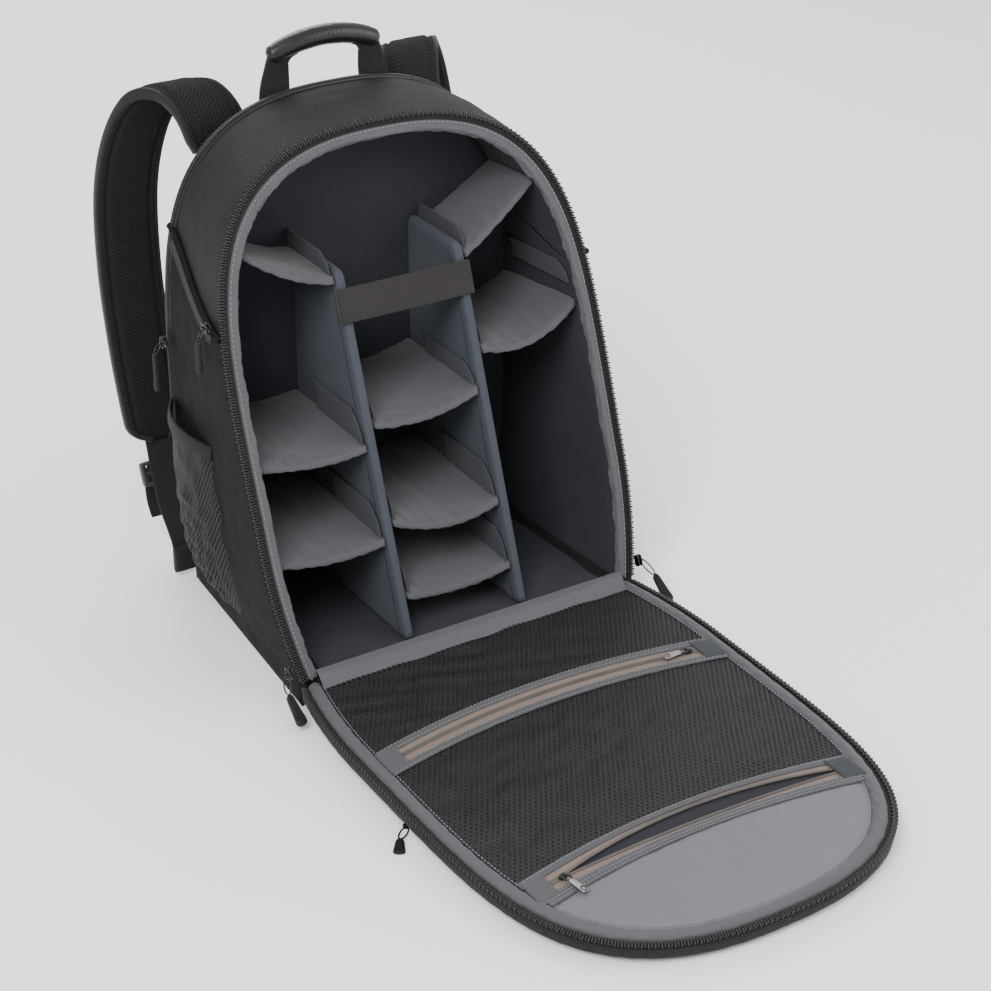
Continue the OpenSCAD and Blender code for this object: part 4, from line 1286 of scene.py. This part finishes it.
def zip_band(label, node, centre, upper, lower, gap, rows_of_stitches):
    """One zip band across the flap: upper and lower bindings, two tapes meeting at the coils, which part
    by gap, and rows of stitches, each by its distance from the centre line."""
    u = np.linspace(-1, 1, 150)[None, :]
    k = np.linspace(0, 1, 9)[:, None]
    for part, (from_at, to_at) in (("upper", upper), ("lower", lower)):
        grid = bowed(centre + from_at + (to_at - from_at) * k, u)
        x = grid[..., 0]
        shift = gap_between(x, *gap) * (-0.35 if part == "upper" else 0.35)
        grid[..., 1] -= shift * (1 - k if part == "lower" else k)
        grid[..., 2] = (
            POCKET_TOP_Z - 0.0004 + 0.0010 * np.sin(math.pi * k) ** 0.5 + 0.0002 * ripples(x * 14, k, 111)
        )
        hung(
            f"{label}_{part}_binding", grid, GREY_BINDING, 0.0007, "stretched", ["flap_lining_sheet"], "flap",
            "lining_nylon", node, flat=True,
        )
    for part, sign, edge in (("upper", -1, upper[1]), ("lower", 1, lower[0])):
        plain = bowed(np.full((9, 1), centre), u)
        opened = gap_between(plain[..., 0], *gap)
        reach = edge + sign * 0.0012
        offset = sign * (0.0004 + opened) + (reach + sign * 0.35 * opened - sign * (0.0004 + opened)) * k
        grid = plain.copy()
        grid[..., 1] -= offset
        grid[..., 2] = POCKET_TOP_Z - 0.0008 - 0.0006 * np.sin(math.pi * k) * opened / 0.007
        hung(
            f"{label}_{part}_tape", grid, TAN_TAPE, 0.0005, "stretched", ["flap_lining_sheet"], "flap",
            "coil_tape", node, flat=True,
        )
        half = float(band_half(np.array([centre]))[0]) - 0.004
        x = np.linspace(-half, half, 400)
        line = on_bow(centre, x, POCKET_TOP_Z - 0.0002)
        line[:, 1] -= sign * (0.0009 + gap_between(x, *gap))
        line = resample(line, 225)
        row_of(f"{label}_{part}_coil", coil_bead, line, UP, COIL, "flap", "coil_tape")
    half = float(band_half(np.array([centre]))[0]) - 0.003
    x = np.linspace(-half, half, 300)
    for n, off in enumerate(rows_of_stitches):
        line = on_bow(centre, x, POCKET_TOP_Z + 0.0009)
        line[:, 1] -= off + gap_between(x, *gap) * 0.35 * np.sign(off) * 0.5
        line = resample(line, 90)
        row_of(f"{label}_stitches_{n + 1}", fine_stitch, line, UP, STITCH_GREY, "flap", "lining_nylon")
    for side, end in ((-1, "left"), (1, "right")):
        far = float(band_half(np.array([centre]))[0])
        x = np.linspace(far - 0.016, far + 0.001, 14)[None, :] * side
        at = centre + np.linspace(-0.0125, 0.0125, 18)[:, None]
        grid = on_bow(at, x, 0.0)
        grid[..., 2] = (
            POCKET_TOP_Z + 0.0012 - 0.0006 * np.abs(np.linspace(-1, 1, 18)[:, None]) ** 4
            + 0.0001 * ripples(x * 30, at * 30, 113)
        )
        hung(
            f"{label}_{end}_tab", grid, GREY_BINDING if end == "left" else TAB_CLOTH, 0.0006, "folded",
            ["flap_lining_sheet"], "flap", "fine_nylon", flat=True,
        )


zip_band(
    "first_band", "zip_band_1", 0.100, (-0.0150, -0.0076), (0.0080, 0.0150), (0.0, 1.0, 0.0),
    (-0.0138, -0.0090, 0.0092, 0.0138),
)
zip_band(
    "second_band", "zip_band_2", 0.2765, (-0.0150, -0.0080), (0.0080, 0.0178), (-0.104, 0.128, 0.0066),
    (-0.0128, 0.0100, 0.0132, 0.0163),
)
# Painted shade: a dark sheet under the part-open second zip stands for the shade inside that pocket.
under = bowed(
    0.2765 + np.linspace(-0.011, 0.011, 10)[:, None], np.linspace(-0.95, 0.95, 80)[None, :],
    FLAP_LINING_Z + 0.0006,
)
hung(
    "second_pocket_inside", under, INNER_SHADE, 0.0003, "laid", ["flap_lining_sheet"], "flap", "lining_nylon",
    "zip_band_2", flat=True,
)

# ---- The lining over the hinge
# A strip of grey lining runs from the edge of the base over the hinge to the flap, and rises in a soft
# fold at both corners.
run = np.linspace(0, 1, 26)[:, None]
u = np.linspace(-1, 1, 110)[None, :]
corner = np.clip((np.abs(u) - 0.62) / 0.38, 0, 1) ** 1.5
y = -0.1005 - 0.0185 * run + 0 * u
z = 0.0231 - 0.0066 * np.clip((run - 0.45) / 0.55, 0, 1) ** 1.2 + 0.0035 * np.sin(math.pi * run) * corner
z = z + 0.0004 * (1 + ripples(run * 1.5, u * 3, 121)) * np.sin(math.pi * run)
gusset = np.stack([(OPENING_HALF - HINGE_TAPER - 0.0128) * u + 0 * run, y, z], axis=-1)
piece = sew("hinge_lining", gusset, materials=(LINING,), thick=0.0006)
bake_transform(piece)
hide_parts("hinge_gusset")

# ---- The pocket on the outside of the flap
# A flat zipped pocket of coarse nylon covers the outside of the flap. Its coil zip runs across in a
# shallow channel.
for label, first, last in (("upper", 0.199, 0.3695), ("lower", 0.0035, 0.1640)):
    at = np.concatenate([
        np.linspace(first, last - 0.012, 60),
        last - 0.012 + 0.012 * np.sin(np.linspace(0.05, 1, 14) * math.pi / 2),
    ])[:, None]
    s = np.linspace(0, 1, 1200)
    edge_x, edge_h = half_outline(s, OPENING_HALF - 0.022, HINGE_TAPER, WIDEST_AT, OPENING_LENGTH - 0.022)
    half = np.interp(at, edge_h, edge_x)
    u = np.concatenate([np.linspace(-1, 1, 46), np.linspace(1, -1, 46)])[None, :]
    face = np.concatenate([np.zeros(46), np.ones(46)])[None, :]
    ends = np.clip(np.minimum(at - first, last - at) / 0.003, 0, 1) ** 0.5
    swell = np.clip((1 - np.abs(u)) * 26, 0, 1) ** 0.5 * ends
    low_z = 0.0040 - 0.0036 * swell + 0.0003 * ripples(u * 2, at * 9, 131) * swell
    grid = np.stack(
        [half * u, Y_HINGE - at + 0 * u, np.where(face > 0, 0.0043, np.maximum(low_z, 0.0001))], axis=-1
    )
    closed(
        f"outer_pocket_{label}", grid, COARSE_NYLON, "flap", "coarse_nylon", "front_pocket",
        uv=grid[..., [0, 1]],
    )
x = np.linspace(-0.1375, 0.1375, 60)
line = np.stack([x, np.full(60, Y_HINGE - 0.1675), np.full(60, 0.0034)], -1)
closed(
    "outer_pocket_tape", strip(line, UP, rounded(0.006, 0.0010, 12, 0.4)), ZIP_TAPE, "flap", "coil_tape",
    "front_pocket_zip",
)
line = resample(line - [0, 0, 0.0008], 190)
row_of("outer_pocket_coil", coil_bead, line, -UP, TEETH, "flap", "zip_teeth")

# ---- The carry handle
# Two wide webbing legs are sewn behind the top seam and turn inwards into a padded grip, which is
# wrapped in black leather and sewn along its underside.
def grained(name, colour, rough):
    """Leather: fine cells for its grain and a slow unevenness in its gloss."""
    made, tree, shader = paint(name, colour, rough, gloss=0.4)
    place = tree.nodes.new("ShaderNodeTexCoord")
    cells = tree.nodes.new("ShaderNodeTexVoronoi")
    cells.inputs["Scale"].default_value = 620.0
    tree.links.new(place.outputs["Object"], cells.inputs["Vector"])
    uneven = placed_group(tree, UNEVEN, Size=45.0)
    tint(tree, shader, colour, uneven.outputs[0], 0.5, 1.6)
    tree.links.new(
        maths(tree, "MULTIPLY_ADD", uneven.outputs[0], 0.25, rough - 0.12), shader.inputs["Roughness"]
    )
    bumped(tree, shader, cells.outputs[0], 0.00012)
    return made


LEATHER = grained("black_leather", (0.007, 0.0068, 0.0068), 0.34)
legs_low, legs_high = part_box("handle_webbing")
grip_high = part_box("handle_grip")[1]
HANDLE_Y = (legs_low.y + legs_high.y) / 2
LEG_X = legs_high.x - 0.011
GRIP_HALF = grip_high.x
GRIP_TOP = grip_high.z - 0.008
GRIP_DROP = 0.010

for side, label in ((-1, "left"), (1, "right")):
    knots = np.array([
        [side * (LEG_X + 0.004), HANDLE_Y, legs_low.z],
        [side * (LEG_X + 0.003), HANDLE_Y, legs_low.z + 0.018],
        [side * (LEG_X + 0.001), HANDLE_Y + 0.0008, legs_low.z + 0.030],
        [side * (LEG_X - 0.001), HANDLE_Y, GRIP_TOP - GRIP_DROP - 0.003],
        [side * (LEG_X - 0.008), HANDLE_Y, GRIP_TOP - 0.006],
        [side * (LEG_X - 0.014), HANDLE_Y, GRIP_TOP - 0.0035],
    ])
    line = resample(knots, 60)
    for _ in range(12):
        line[1:-1] = (line[:-2] + 2 * line[1:-1] + line[2:]) / 4
    section = rounded(2.0, 2.0, 30, 0.35)
    frames = along_path(line, np.array([0.0, 1.0, 0.0]))
    s = np.linspace(0, 1, 60)[:, None]
    wide = 0.0125 - 0.0050 * np.clip((s - 0.35) / 0.5, 0, 1) ** 1.2
    thick = 0.0016 + 0.0030 * np.clip((s - 0.6) / 0.4, 0, 1)
    leg = (
        line[:, None] + (wide * section[None, :, 0])[..., None] * frames[:, None, 1]
        + (thick * section[None, :, 1])[..., None] * frames[:, None, 2]
    )
    closed(f"{label}_handle_leg", leg, WEBBING, "handle", "webbing", "handle_webbing")
    box = np.array(
        [[-0.009, 0.003], [0.009, 0.003], [0.009, 0.016], [-0.009, 0.016], [-0.009, 0.003], [0.009, 0.016]]
    )
    patch = resample(
        np.stack(
            [side * (LEG_X + 0.0035) + box[:, 0], np.full(6, HANDLE_Y - 0.0018), legs_low.z + box[:, 1]], -1
        ),
        44,
    )
    row_of(
        f"{label}_handle_stitches", fine_stitch, patch, np.array([0.0, -1.0, 0.0]), STITCH_BLACK, "handle",
        "webbing",
    )

s = np.linspace(-1, 1, 110)
line = np.stack([(GRIP_HALF - 0.002) * s, np.full(110, HANDLE_Y), GRIP_TOP - GRIP_DROP * s**2], -1)
turn = np.linspace(0, 2 * math.pi, 41)[:-1][None, :]
fat = (0.0079 * (1 - 0.22 * np.abs(s) ** 5) * np.clip((1 - np.abs(s)) * 22, 0.35, 1) ** 0.35)[:, None]
seam_dip = 1 - 0.10 * np.exp(-(((turn - 1.5 * math.pi) / 0.16) ** 2))
crease = 1 + 0.018 * ripples(s[:, None] * 6, turn / 4, 141)
frames = along_path(line, UP)
grip = line[:, None] + (fat * seam_dip * crease)[..., None] * (
    np.cos(turn)[..., None] * frames[:, None, 1] + np.sin(turn)[..., None] * frames[:, None, 2]
)
piece = closed("leather_grip", grip, LEATHER, "handle", "leather", "handle_grip")

# ---- Shoulder straps
# Each strap is a thick foam pad covered in zigzag spacer mesh and bound in grosgrain. It humps up from
# the yoke, hangs down the back and ends in a ladder lock, from which webbing runs to the base.
STRAP_KNOTS = np.array([
    [-82, 123, 353], [-88, 134, 380], [-98, 152, 393], [-112, 172, 386], [-126, 184, 356],
    [-136, 188, 310], [-140, 184, 250], [-140, 176, 190], [-138, 168, 140], [-136, 160, 104],
]) / 1000.0
WEBBING_KNOTS = np.array([
    [-136, 162, 109], [-136, 158, 98], [-137, 150, 78], [-138, 137, 56],
    [-138, 123, 40], [-138, 115, 30], [-138, 114, 21],
]) / 1000.0
BUCKLE = moulded("buckle_plastic", (0.02, 0.02, 0.021), 0.42)
PAD_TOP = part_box("left_strap_pad")[1].z


def smooth_path(knots, count):
    """A Catmull-Rom curve through the knots, at equal distances."""
    padded_knots = np.concatenate([knots[:1], knots, knots[-1:]])
    n = len(knots) - 1
    u = np.linspace(0, n - 1e-6, 400)
    i = u.astype(int)
    f = (u - i)[:, None]
    a, b, c, d = (padded_knots[i + k] for k in range(4))
    curve = 0.5 * (2 * b + (c - a) * f + (2 * a - 5 * b + 4 * c - d) * f**2 + (3 * b - a - 3 * c + d) * f**3)
    return resample(curve, count)


def strap_frames(path):
    """Frames whose side runs across the pack, as the straps' width does."""
    forward = np.gradient(path, axis=0)
    up = np.stack([np.zeros(len(path)), -forward[:, 2], forward[:, 1]], -1)
    up /= np.linalg.norm(up, axis=1, keepdims=True)
    side = np.broadcast_to([1.0, 0.0, 0.0], path.shape)
    return side, up


for side, label in ((-1, "left"), (1, "right")):
    flip = np.array([-side, 1, 1])
    body = f"{label}_shoulder_strap"
    path = smooth_path(STRAP_KNOTS * flip, 170)
    across_way, up = strap_frames(path)
    s = np.linspace(0, 1, 170)[:, None]
    turn = np.linspace(0, 2 * math.pi, 61)[:-1][None, :]
    cos_t, sin_t = signed_power(np.cos(turn), 0.42), signed_power(np.sin(turn), 0.62)
    tip = np.sqrt(np.clip(1 - np.clip((s - 0.955) / 0.045, 0, 1) ** 2, 0.1, 1)) * np.clip(0.9 + s * 4, 0, 1)
    wide = 0.0246 * tip
    lane = 1 - 0.30 * np.exp(-(((np.abs(cos_t) - 0.74) / 0.06) ** 2))
    thick = 0.0060 * np.clip((1 - s) * 22, 0.3, 1) ** 0.5 * np.clip(s * 20, 0.45, 1) ** 0.5 * lane
    thick = thick * (1 + 0.05 * ripples(s * 5, cos_t * 0.4, 151 + side))
    pad = (
        path[:, None] + (wide * cos_t)[..., None] * across_way[:, None]
        + (thick * sin_t)[..., None] * up[:, None]
    )
    piece = closed(f"{label}_strap_cushion", pad, SPACER_MESH, body, "air_mesh", f"{label}_strap_pad")
    for edge, part in ((-1, "inner"), (1, "outer")):
        rim = path + edge * (wide - 0.0006) * across_way
        tube = strip(rim, up, rounded(0.0044, 0.0088, 16, 0.7))
        tube[..., 2] = np.clip(tube[..., 2], None, PAD_TOP + 0.004)
        closed(f"{label}_strap_binding_{part}", tube, GROSGRAIN, body, "webbing")
    tack = path[163] + up[163] * 0.0030
    zigzag = ((-0.009, 0), (0.009, 0), (-0.009, 0.002), (0.009, 0.002))
    marks = resample(np.stack([tack + across_way[0] * x + UP * z for x, z in zigzag]), 30)
    row_of(f"{label}_strap_bartack", fine_stitch, marks, up[163], STITCH_BLACK, body, "webbing")

    line = smooth_path(WEBBING_KNOTS * flip, 70)
    across_way, up = strap_frames(line)
    band = rounded(0.0248, 0.0022, 24, 0.3)
    lower = line[:, None] + band[None, :, :1] * across_way[:, None] + band[None, :, 1:] * up[:, None]
    closed(f"{label}_lower_webbing", lower, WEBBING, body, "webbing", f"{label}_strap_webbing")
    tail_knots = np.array(
        [[-137, 156, 84], [-137, 163, 74], [-136.5, 167, 60], [-136, 166, 44], [-135, 161, 32]]
    ) / 1000.0
    tail = smooth_path(tail_knots * flip, 50)
    across_way, up = strap_frames(tail)
    loose_end = tail[:, None] + band[None, :, :1] * across_way[:, None] + band[None, :, 1:] * up[:, None]
    closed(f"{label}_webbing_tail", loose_end, WEBBING, body, "webbing")

    lock_low, lock_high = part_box(f"{label}_ladder_lock")
    centre = np.array(lock_low + lock_high) / 2
    tilt = math.radians(-22)
    axes = np.array([[1, 0, 0], [0, math.cos(tilt), math.sin(tilt)], [0, -math.sin(tilt), math.cos(tilt)]])
    bars = []
    for x, z, wide, tall, deep in (
        (-0.0168, 0, 0.0023, 0.0100, 0.0030),
        (0.0168, 0, 0.0023, 0.0100, 0.0030),
        (0, 0.0086, 0.0188, 0.0018, 0.0028),
        (0, 0.0002, 0.0170, 0.0016, 0.0024),
        (0, -0.0086, 0.0188, 0.0018, 0.0030),
    ):
        points, faces = bead((wide, deep, tall), 0.4, 20, 12)
        bars.append(((points + [x, 0, z]) @ axes + centre, faces))
    piece = assembled(f"{label}_ladder_buckle", bars, (BUCKLE,))
    finish(piece, body, "buckle", f"{label}_ladder_lock")

# ---- Sliders and pulls
# Dark metal sliders ride on every zip. The main ones carry long rubber pulls, the small zips braided
# cord loops, and the pocket zips flat metal pulls with an eye.
SLIDER_METAL = moulded("dark_slider_metal", (0.045, 0.045, 0.048), 0.3, metal=1.0, depth=0.00004)
PULL_METAL = moulded("grey_pull_metal", (0.28, 0.28, 0.29), 0.38, metal=1.0, depth=0.00004)
RUBBER = moulded("black_rubber", (0.005, 0.005, 0.005), 0.42, depth=0.00006, gloss=0.2)
BRAID = ribbed("braided_cord", (0.02, 0.02, 0.021), 0.0022, 0.0013, depth=0.0003, rough=0.7)


def middle_of(node):
    """The middle of a CAD node's box."""
    low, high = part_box(node)
    return np.array(low + high) / 2


def slider_parts(centre, forward, up, scale=1.0):
    """A slider: two rounded plates, the neck between them and an arched bridge over the top plate."""
    frame3 = along_path(np.stack([centre - forward, centre, centre + forward]), up)[1]
    parts = []
    for ahead, lift, half in (
        (0, 0.0014, (0.0049, 0.0034, 0.0008)),
        (0, -0.0014, (0.0049, 0.0034, 0.0008)),
        (0.0030, 0, (0.0013, 0.0012, 0.0018)),
    ):
        points, faces = bead(np.array(half) * scale, 0.5, 20, 10)
        parts.append(((points + np.array([ahead, 0, lift]) * scale) @ frame3 + centre, faces))
    angle = np.linspace(0, math.pi, 16)
    arch = np.stack([0.0036 * np.cos(angle), np.zeros(16), 0.0018 + 0.0014 * np.sin(angle)], -1)
    arch = arch * scale @ frame3 + centre
    parts.append(shell_of(strip(arch, frame3[1], rounded(0.0009 * scale, 0.0016 * scale, 10, 0.8))))
    return parts


def ring_parts(centre, direction, up, radius, wire, reach=None):
    """A wire loop: a small tube carried round an ellipse in the plane of the direction and the side."""
    side = np.cross(up, direction)
    angle = np.linspace(0, 2 * math.pi, 29)[:-1]
    long_half = 1.5 * radius if reach is None else reach
    loop = centre + long_half * np.cos(angle)[:, None] * direction + radius * np.sin(angle)[:, None] * side
    ahead = np.roll(loop, -1, axis=0) - np.roll(loop, 1, axis=0)
    ahead /= np.linalg.norm(ahead, axis=1, keepdims=True)
    out = np.cross(ahead, up)
    turn = np.arange(8) * math.pi / 4
    tube = loop[:, None] + wire * (
        np.cos(turn)[None, :, None] * out[:, None] + np.sin(turn)[None, :, None] * up
    )
    return shell_of(np.concatenate([tube, tube[:1]]), caps=False)


def tab_parts(start, direction, up, length, widths, thick):
    """A flat tab: a rounded section carried along a line, as wide as the given widths say."""
    s = np.linspace(0, 1, 40)
    line = start + s[:, None] * length * direction
    round_off = np.sqrt(np.clip(1 - (2 * s - 1) ** 12, 0.08, 1))
    wide = np.interp(s, np.linspace(0, 1, len(widths)), widths) * round_off
    side = np.cross(up, direction)
    section = rounded(1.0, 1.0, 20, 0.5)
    bulge = (1 + 0.25 * np.exp(-(((s - 0.85) / 0.1) ** 2)))[:, None, None]
    across = (wide[:, None] * section[None, :, 0])[..., None] * side
    return shell_of(line[:, None] + across + bulge * (thick * section[None, :, 1])[..., None] * up)


DOWN = -UP
OUT_LEFT = np.array([-1.0, 0.0, 0.0])
UP_SLOPE = np.array([0.0, math.sin(LEAN), math.cos(LEAN)])
TRACK_1 = np.array([1.0, -2 * BOW * 0.122 / BOW_HALF**2, 0.0])
TRACK_1 /= np.linalg.norm(TRACK_1)
TRACK_2 = np.array([1.0, 2 * BOW * 0.108 / BOW_HALF**2, 0.0])
TRACK_2 /= np.linalg.norm(TRACK_2)
AHEAD_DOWN = np.array([0.0, -math.sin(math.radians(58)), -math.cos(math.radians(58))])
PULL_2_WAY = np.array([math.cos(math.radians(-80)), math.sin(math.radians(-80)), 0.0])
FRONT_WAY = np.array([math.cos(math.radians(-122)), math.sin(math.radians(-122)), 0.0])
TAB_SHAPES = {
    "rubber": (0.008, (0.0050, 0.0064, 0.0072, 0.0084, 0.0088), 0.0040, RUBBER),
    "small rubber": (0.008, (0.0050, 0.0064, 0.0072, 0.0084, 0.0088), 0.0016, RUBBER),
    "cord": (0.007, (0.0042, 0.0050, 0.0046, 0.0056, 0.0080), 0.0036, BRAID),
    "metal": (0.007, (0.0042, 0.0052, 0.0056, 0.0064), 0.0012, PULL_METAL),
}
for zip_name, forward, up, way, length, kind in (
    ("left_main", UP_SLOPE, OUT_LEFT, AHEAD_DOWN, 0.034, "rubber"),
    ("right_main", UP_SLOPE, -OUT_LEFT, AHEAD_DOWN, 0.034, "rubber"),
    ("laptop", UP, OUT_LEFT, DOWN, 0.040, "cord"),
    ("side", np.array([0.0, 1.0, 0.0]), OUT_LEFT, DOWN, 0.034, "cord"),
    ("pocket_1", TRACK_1, UP, OUT_LEFT, 0.024, "metal"),
    ("pocket_2", TRACK_2, UP, PULL_2_WAY, 0.024, "metal"),
    ("front_pocket", -OUT_LEFT, DOWN, FRONT_WAY, 0.024, "small rubber"),
):
    at = middle_of(f"{zip_name}_slider")
    small = kind in ("metal", "small rubber")
    slider = slider_parts(at, forward, up, 0.6 if small else 0.98)
    piece = assembled(f"{zip_name}_slider_body", slider, (SLIDER_METAL,))
    finish(piece, f"{zip_name}_slider", "slider_metal", f"{zip_name}_slider")
    middle = middle_of(f"{zip_name}_pull")
    start = middle - way * length / 2
    face = up if abs(float(np.dot(up, way))) < 0.5 else np.array([0.0, 1.0, 0.0])
    if zip_name in ("laptop", "side"):
        face = OUT_LEFT
    if zip_name in ("left_main", "right_main"):
        face = np.cross(way, [1.0, 0.0, 0.0])
    hook = at + up * (0.0016 if small else 0.0026)
    pull_link = start + way * 0.0078 - hook
    reach = float(np.linalg.norm(pull_link)) / 2
    pull_link /= 2 * reach
    ring_side = np.cross(face, pull_link)
    ring_side /= np.linalg.norm(ring_side)
    ring = ring_parts(
        hook + pull_link * reach, pull_link, np.cross(pull_link, ring_side), 0.0026, 0.0006, reach
    )
    root, widths, thick, stuff = TAB_SHAPES[kind]
    tab = tab_parts(start + way * root, way, face, length - 0.008, widths, thick)
    piece = assembled(f"{zip_name}_pull_tab", [ring, tab], (SLIDER_METAL, stuff), which=[0, 1])
    piece.data.uv_layers.new(name="cloth")
    corners = np.array([loop.vertex_index for loop in piece.data.loops])
    points = np.array([vertex.co[:] for vertex in piece.data.vertices])
    lengths = np.stack([points[corners] @ np.cross(face, way), points[corners] @ way], axis=-1)
    piece.data.uv_layers["cloth"].data.foreach_set("uv", lengths.reshape(-1))
    finish(piece, f"{zip_name}_pull", "grey_pull" if kind == "metal" else "rubber_pull", f"{zip_name}_pull")
    if kind == "metal":
        hole = ring_parts(start + way * (length - 0.0042) + face * 0.0007, way, face, 0.0016, 0.0004)
        eye = assembled(f"{zip_name}_pull_eye", [hole], (SLIDER_METAL,))
        finish(eye, f"{zip_name}_pull", "slider_metal")
